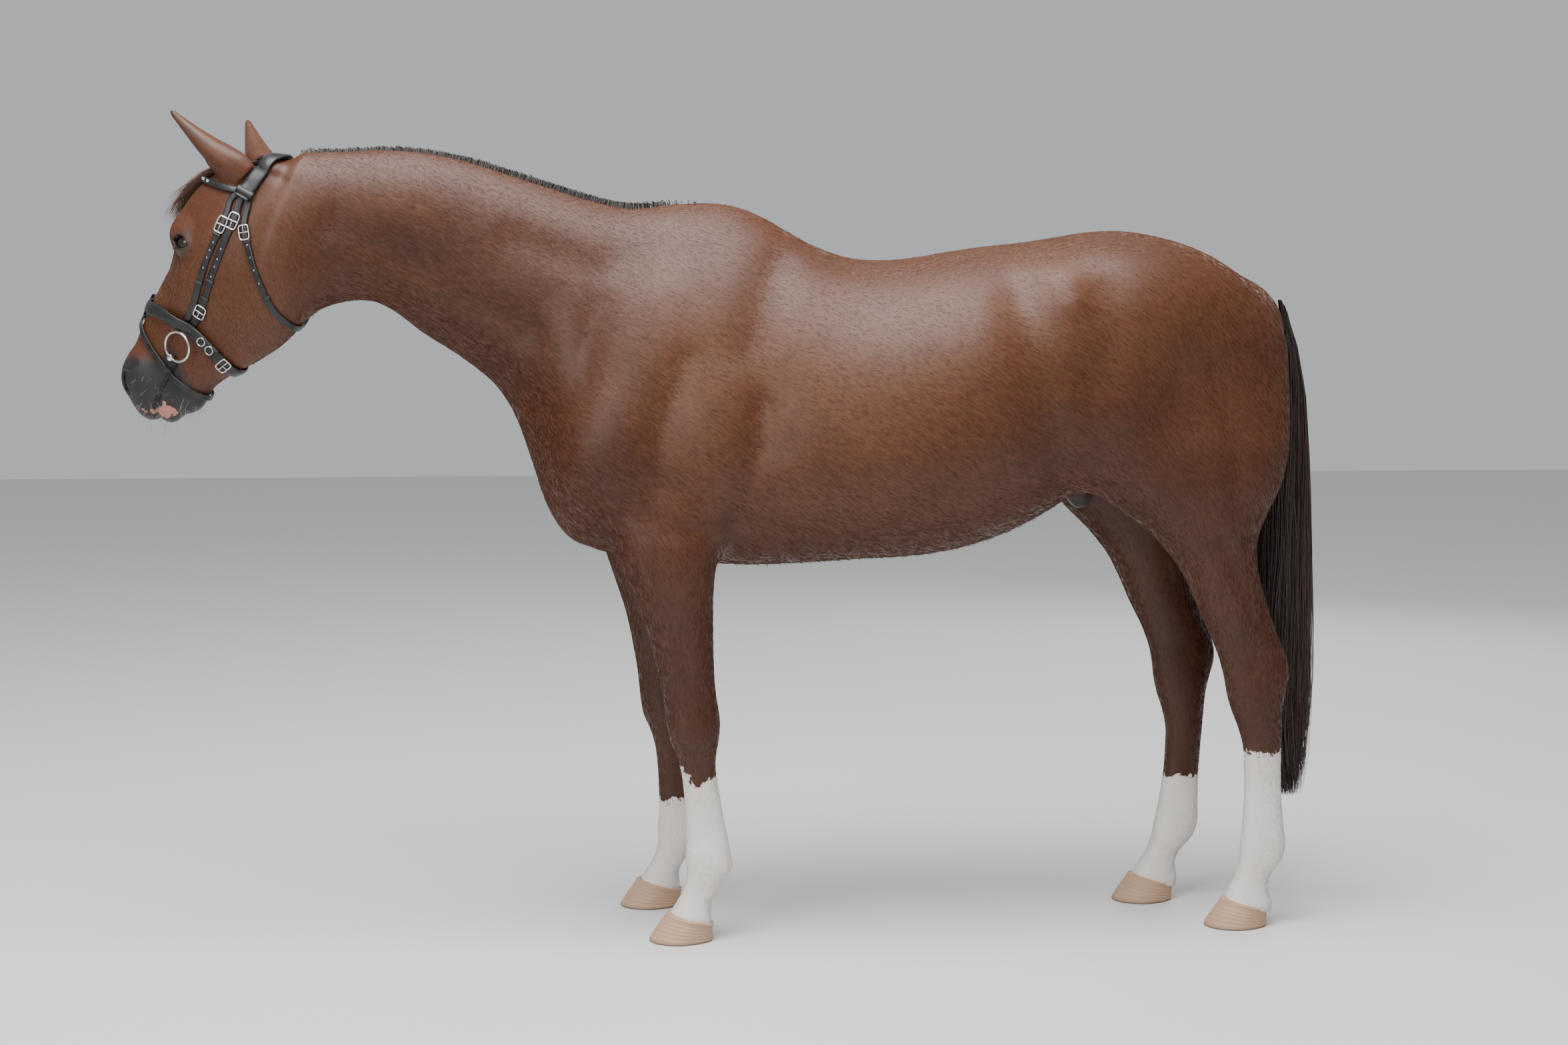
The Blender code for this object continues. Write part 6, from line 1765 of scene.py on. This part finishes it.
def rod(start, end, radius, sides=8):
    """Points and quads of a rod with rounded ends that close to a point."""
    axis = unit(end - start)
    first = unit(np.cross(axis, (0.3, 0.1, 1.0)))
    lap = full_turn(sides)[:, None]
    circle = np.cos(lap) * first + np.sin(lap) * np.cross(axis, first)
    cap = np.sin(np.linspace(0, np.pi / 2, 4))
    wide = np.concatenate([cap, cap[::-1]]) * radius + 1e-5
    reach = np.concatenate([-np.sqrt(1 - cap**2), np.sqrt(1 - cap[::-1] ** 2)]) * radius
    middle = np.where(np.arange(8)[:, None] < 4, start, end) + reach[:, None] * axis
    points = middle[:, None] + wide[:, None, None] * circle
    ends = [list(range(sides))[::-1], list(range(7 * sides, 8 * sides))]
    return points.reshape(-1, 3), tube_faces(8, sides), ends


def squarish(turn, power):
    """Cosine and sine of the angles, each raised to a power with its sign kept: a circle turned squarish."""
    return [np.sign(way) * np.abs(way) ** power for way in (np.cos(turn), np.sin(turn))]


def rounded(lie, share, long, wide, raised):
    """Closed path of a rounded rectangle on a strap."""
    point, ahead, across, out = spot(lie, share)
    x, y = squarish(full_turn(32)[:, None], 0.4)
    x, y = long / 2 * x, wide / 2 * y
    return point + out * raised + x * ahead + y * across, out


def joined(shapes):
    """One list of points and faces from several; the flat ends of rods become fans of triangles."""
    points, faces, start = [], [], 0
    for shape in shapes:
        points.append(shape[0])
        faces.append(shape[1] + start)
        for end in shape[2] if len(shape) > 2 else ():
            end = np.array(end) + start
            faces.append(np.stack([np.full(len(end) - 2, end[0]), end[1:-1], end[2:]], 1))
        start += len(shape[0])
    return np.concatenate(points), faces


GAUGE = 0.0019  # radius of the wire of a buckle's frame


def buckle(lie, share, long=0.036, wide=0.025):
    """Frame, middle bar and prong."""
    point, ahead, across, out = spot(lie, share)
    base = point + out * 0.0012
    return [
        wire(*rounded(lie, share, long, wide, 0.0012), GAUGE),
        rod(base - across * wide / 2, base + across * wide / 2, GAUGE * 0.8),
        rod(base + out * GAUGE, base + ahead * long * 0.52 + out * GAUGE, GAUGE * 0.6),
    ]


def keeper(lie, share, wide, long=0.007):
    """Loop of leather round a strap."""
    point, ahead, across, out = spot(lie, share)
    turn = full_turn(28)[:, None]
    deep = lie[4] / 2
    spoke_y, spoke_z = squarish(turn, 0.35)
    section = np.array([(-1, -1), (1, -1), (1, 1), (-1, 1)]) * 0.5
    grow_by = 0.0011 + 0.0010 * section[:, 1]
    y = spoke_y * (wide / 2 + grow_by)
    z = spoke_z * (deep + grow_by)
    points = (point - out * deep) + y[..., None] * across + z[..., None] * out
    points = points + (section[:, 0] * long)[:, None] * ahead
    return points.reshape(-1, 3), tube_faces(28, 4, closed=True)


def eyelets(lie, shares, radius=0.0014, thick=0.0005, around=14, sides=6):
    """Rings of wire that lie flat on a strap, one at each share of its length."""
    return [ring(*spot(lie, share)[::3], radius, thick, around, sides) for share in shares]


def keepers(lie, *rows):
    """Keepers on one strap, each from its share of the length, its width and, if given, its length."""
    return [keeper(lie, *row) for row in rows]


metal, loops = [], []
for name in EYES:
    hanger, cheek = straps[f"noseband_hanger_{name}"], straps[f"cheekpiece_{name}"]
    metal += buckle(hanger, 0.23, wide=0.021) + buckle(cheek, 0.17, wide=0.022)
    metal += buckle(cheek, 0.79, 0.032, 0.025)
    metal += eyelets(hanger, (0.36, 0.42, 0.48, 0.54)) + eyelets(cheek, (0.36, 0.42, 0.48, 0.54))
    loops += keepers(hanger, (0.66, 0.0145), (0.315, 0.0145))
    loops += keepers(cheek, (0.58, 0.0165), (0.70, 0.0165), (0.86, 0.0165))
throat, nose, flash = straps["throatlash"], straps["noseband"], straps["flash_strap"]
metal += buckle(throat, 0.885, 0.032, 0.022) + eyelets(throat, (0.72, 0.76, 0.80, 0.84))
loops += keepers(throat, (0.85, 0.0155), (0.66, 0.0155))
loops += keepers(straps["headpiece"], (0.045, 0.037, 0.016), (0.955, 0.037, 0.016))
metal += buckle(flash, 0.34, 0.024, 0.021) + buckle(nose, 0.94, 0.024, 0.032)
metal += eyelets(nose, (0.125, 0.165, 0.835, 0.875), 0.0095, 0.0016, 24, 8)
loops += keepers(flash, (0.30, 0.0135), (0.40, 0.0135)) + keepers(nose, (0.90, 0.0295))
brow = [spot(straps["browband"], share) for share in np.linspace(0.24, 0.76, 15)]
gems = [rod(point - out * 0.001, point + out * 0.0006, 0.0036, 10) for point, _, _, out in brow]
FLASH_LOOP = [(0.160, 0.0, 0.066), (0.180, 0.0, 0.066), (0.205, 0.0, 0.066), (0.224, 0.0, 0.066)]
LOOP_GAPS = ((0, 0.0105), (0.6, 0.0112), (1, 0.0085))
band("flash_loop", FLASH_LOOP, 0.015, 0.0025, LOOP_GAPS, count=20, stands_for=())

piece("bridle_metal", *joined(metal), steel, "bit_steel")
piece("bridle_keepers", *joined(loops), black_leather, "bridle_leather")
piece("browband_stones", *joined(gems), stone, "bit_steel")

RING_PLACE, RING_AXIS = (0.2240, 0.0650, -0.0655), (0.18, 0.98, 0.06)
BALL_FROM_RING = unit((0.031, -0.0063, 0.010))
RING_RADIUS, RING_WIRE, BALL_RADIUS = 0.0335, 0.003, 0.009
for name, side in EYES.items():
    flip = np.array((1, side, 1))
    centre, axis = from_head(RING_PLACE * flip)[0], (unit(RING_AXIS) * flip) @ HEAD_AXES
    round_bit = ring(centre, axis, RING_RADIUS, RING_WIRE, 72, 14)
    piece(f"ring_{name}", *round_bit, steel, "bit_steel", [f"bit_ring_{name}"])
    place = centre + (BALL_FROM_RING * flip) @ HEAD_AXES * RING_RADIUS
    inward = (np.array((0.30, -0.95, 0.05)) * flip) @ HEAD_AXES
    end = joined([rod(place, place + inward * 1e-4, BALL_RADIUS, 20)])
    piece(f"end_{name}", *end, steel, "bit_steel", [f"bit_end_{name}"])
    bar = joined([rod(place + inward * 0.004, place + inward * 0.030, 0.0075, 16)])
    piece(f"bar_{name}", *bar, black_leather, "bridle_leather")

# %% [markdown]
# ## Fine hairs
# Long pale feelers stand on the lips and the chin, lashes on the upper lids, and short soft hair lines the
# rims and the cup of each ear.


# %% Feelers, lashes and ear hair
feeler_finish = hair_finish("feelers", (0.10, 0.085, 0.075, 1), (0.62, 0.58, 0.53, 1))


def bent(root, way, long, droop, places=6):
    """Paths from the roots: root + long (way t + droop t squared), with t from 0 to 1."""
    t = np.linspace(0, 1, places)[None, :, None]
    return root[:, None] + long[:, None, None] * (unit(way)[:, None] * t + np.asarray(droop) * t**2)


def tapering(count, wide, places=6, loss=0.8):
    """Half widths of hairs that lose a share of their width with the square of the way along."""
    return np.full((count, 1), wide) * (1 - loss * np.linspace(0, 1, places) ** 2)


def feelers(count=170):
    """Feelers on the bare skin of the lips and the chin."""
    rng = np.random.default_rng(31)
    corner = SKIN_POINTS[SKIN_FACES]
    q = in_head(corner.mean(1))
    area = areas_of(corner)
    share = area * (q[:, 0] > 0.325) * (corner[:, 0, 0] < -1.2) * np.where(q[:, 2] < 0.0, 1, 0.15)
    chosen = SKIN_FACES[rng.choice(len(share), count, p=share / share.sum())][:, 0]
    root, way = SKIN_POINTS[chosen], SKIN_NORMALS[chosen] + rng.normal(0, 0.16, (count, 3))
    long = rng.uniform(0.010, 0.040, count)
    paths = bent(root - SKIN_NORMALS[chosen] * 0.001, way, long, (0.05, 0, -0.28))
    wide = tapering(count, 0.00024)
    facing = np.broadcast_to(np.array((0.3, 0.1, 1.0)), paths.shape)
    locks("feelers", paths, wide, facing, feeler_finish, "coat", (), rng.random(count))


def lashes(count=70):
    """Lashes on both upper lids: out, and a little down."""
    rng = np.random.default_rng(32)
    found = []
    for side in EYES.values():
        turn = np.radians(rng.uniform(30, 112, count))
        place = EYE_PLACE + np.stack([0.0185 * np.cos(turn), 0.018 + 0 * turn, 0.0115 * np.sin(turn)], 1)
        root = drawn_to(skin_field, from_head(place * (1, side, 1)), 0.0)
        way = (np.array((0.25, 0.9 * side, 0.25)) + 0.12 * rng.normal(size=(count, 3))) @ HEAD_AXES
        found.append(bent(root, way, rng.uniform(0.008, 0.016, count), (-0.15, 0, -0.35)))
    paths = np.concatenate(found)
    wide = tapering(len(paths), 0.00022)
    facing = np.broadcast_to(np.array((0.1, 0.1, 1.0)), paths.shape)
    locks("lashes", paths, wide, facing, tail_finish, "coat", (), np.zeros(len(paths)))


def ear_hair(count=1500):
    """Short hair along both rims of each ear and in its cup, pointing over the opening and to the tip."""
    rng = np.random.default_rng(33)
    found, outward_ways = [], []
    for name in EARS:
        base, along, face, across = ear_frame(name)
        place = rng.uniform(0.052, 0.172, count)
        half, deep = through(EAR_WIDE, place), through(EAR_DEEP, place)
        turn = np.radians(rng.choice((-1, 1), count) * rng.uniform(75, 126, count))
        inner = np.array((half - EAR_WALL - 0.001, deep - EAR_WALL - 0.001))
        u, v = inner[0] * np.sin(turn), -inner[1] * np.cos(turn)
        q = base + place[:, None] * along + u[:, None] * across + v[:, None] * face
        way = -0.55 * np.sign(turn)[:, None] * across + 0.35 * face + 0.75 * along
        way = way + 0.15 * rng.normal(size=(count, 3))
        long = rng.uniform(0.006, 0.013, count) * (1.15 - place / 0.25)
        found.append(bent(from_head(q), way @ HEAD_AXES, long, (0, 0, 0.1), 4))
        outward_ways.append(np.broadcast_to(face @ HEAD_AXES, found[-1].shape))
    paths = np.concatenate(found)
    wide = tapering(len(paths), 0.00042, 4, 0.85)
    tones = rng.random(len(paths))
    locks("ear_hair", paths, wide, np.concatenate(outward_ways), forelock_finish, "coat", (), tones)


feelers()
lashes()
ear_hair()

# %% [markdown]
# ## Floor, light and camera
# A museum stands such a model on a pale floor in soft light. A wide lamp overhead gives the long sheen on
# the back, and two weaker ones fill the sides. The camera stands level with the back, and looks at the
# near side from a little ahead of the middle.

# %% Floor, light and camera
floor_finish, tree, shader = new_finish("pale_floor", base_color=(0.70, 0.69, 0.67, 1), roughness=0.7)
edge = 14.0  # from the middle of the floor to its sides
mesh = bpy.data.meshes.new("floor")
mesh.from_pydata([(-edge, -edge, 0), (edge, -edge, 0), (edge, edge, 0), (-edge, edge, 0)], [], [(0, 1, 2, 3)])
mesh.materials.append(floor_finish)
floor = placed("floor", mesh)


def lamp(name, place, target, size, power, colour=(1, 1, 1)):
    """Square area lamp that looks at its target."""
    light = bpy.data.lights.new(name, "AREA")
    light.shape, light.size, light.energy, light.color = "SQUARE", size, power, colour
    made = placed(name, light)
    made.location = place
    aim(made, target)


def aim(thing, target):
    """Turns a lamp or a camera so that its -z axis points at the target."""
    way = unit(np.array(target, float) - np.array(thing.location))
    side = unit(np.cross(way, (0, 0, 1)))
    up = np.cross(side, way)
    thing.rotation_euler = Matrix(np.stack([side, up, -way], 1).tolist()).to_euler()


lamp("sky", (-0.5, -1.5, 5.5), (0, 0, 1.0), 4.0, 560, (0.96, 0.98, 1.0))
lamp("near_side", (-3.5, -5.0, 3.0), (0, 0, 1.0), 2.4, 130, (1.0, 0.97, 0.93))
lamp("far_side", (3.0, 5.0, 3.0), (0, 0, 1.0), 3.0, 70)
world = bpy.data.worlds.new("pale_room")
world.use_nodes = True
world.node_tree.nodes["Background"].inputs["Color"].default_value = (0.80, 0.83, 0.86, 1)
world.node_tree.nodes["Background"].inputs["Strength"].default_value = 0.62
bpy.context.scene.world = world

CAMERA_TURN, CAMERA_FALL, CAMERA_AWAY, CAMERA_HIGH = np.radians(5.0), np.radians(5.252), 6.0, 1.475
lens = bpy.data.cameras.new("camera")
lens.sensor_width, lens.lens = 36.0, 60.61
camera = placed("camera", lens)
level = np.array((np.sin(CAMERA_TURN), np.cos(CAMERA_TURN), 0))
camera.location = SHIFT - level * CAMERA_AWAY + (0, 0, CAMERA_HIGH)
aim(camera, np.array(camera.location) + level * np.cos(CAMERA_FALL) - (0, 0, np.sin(CAMERA_FALL)))
bpy.context.scene.camera = camera
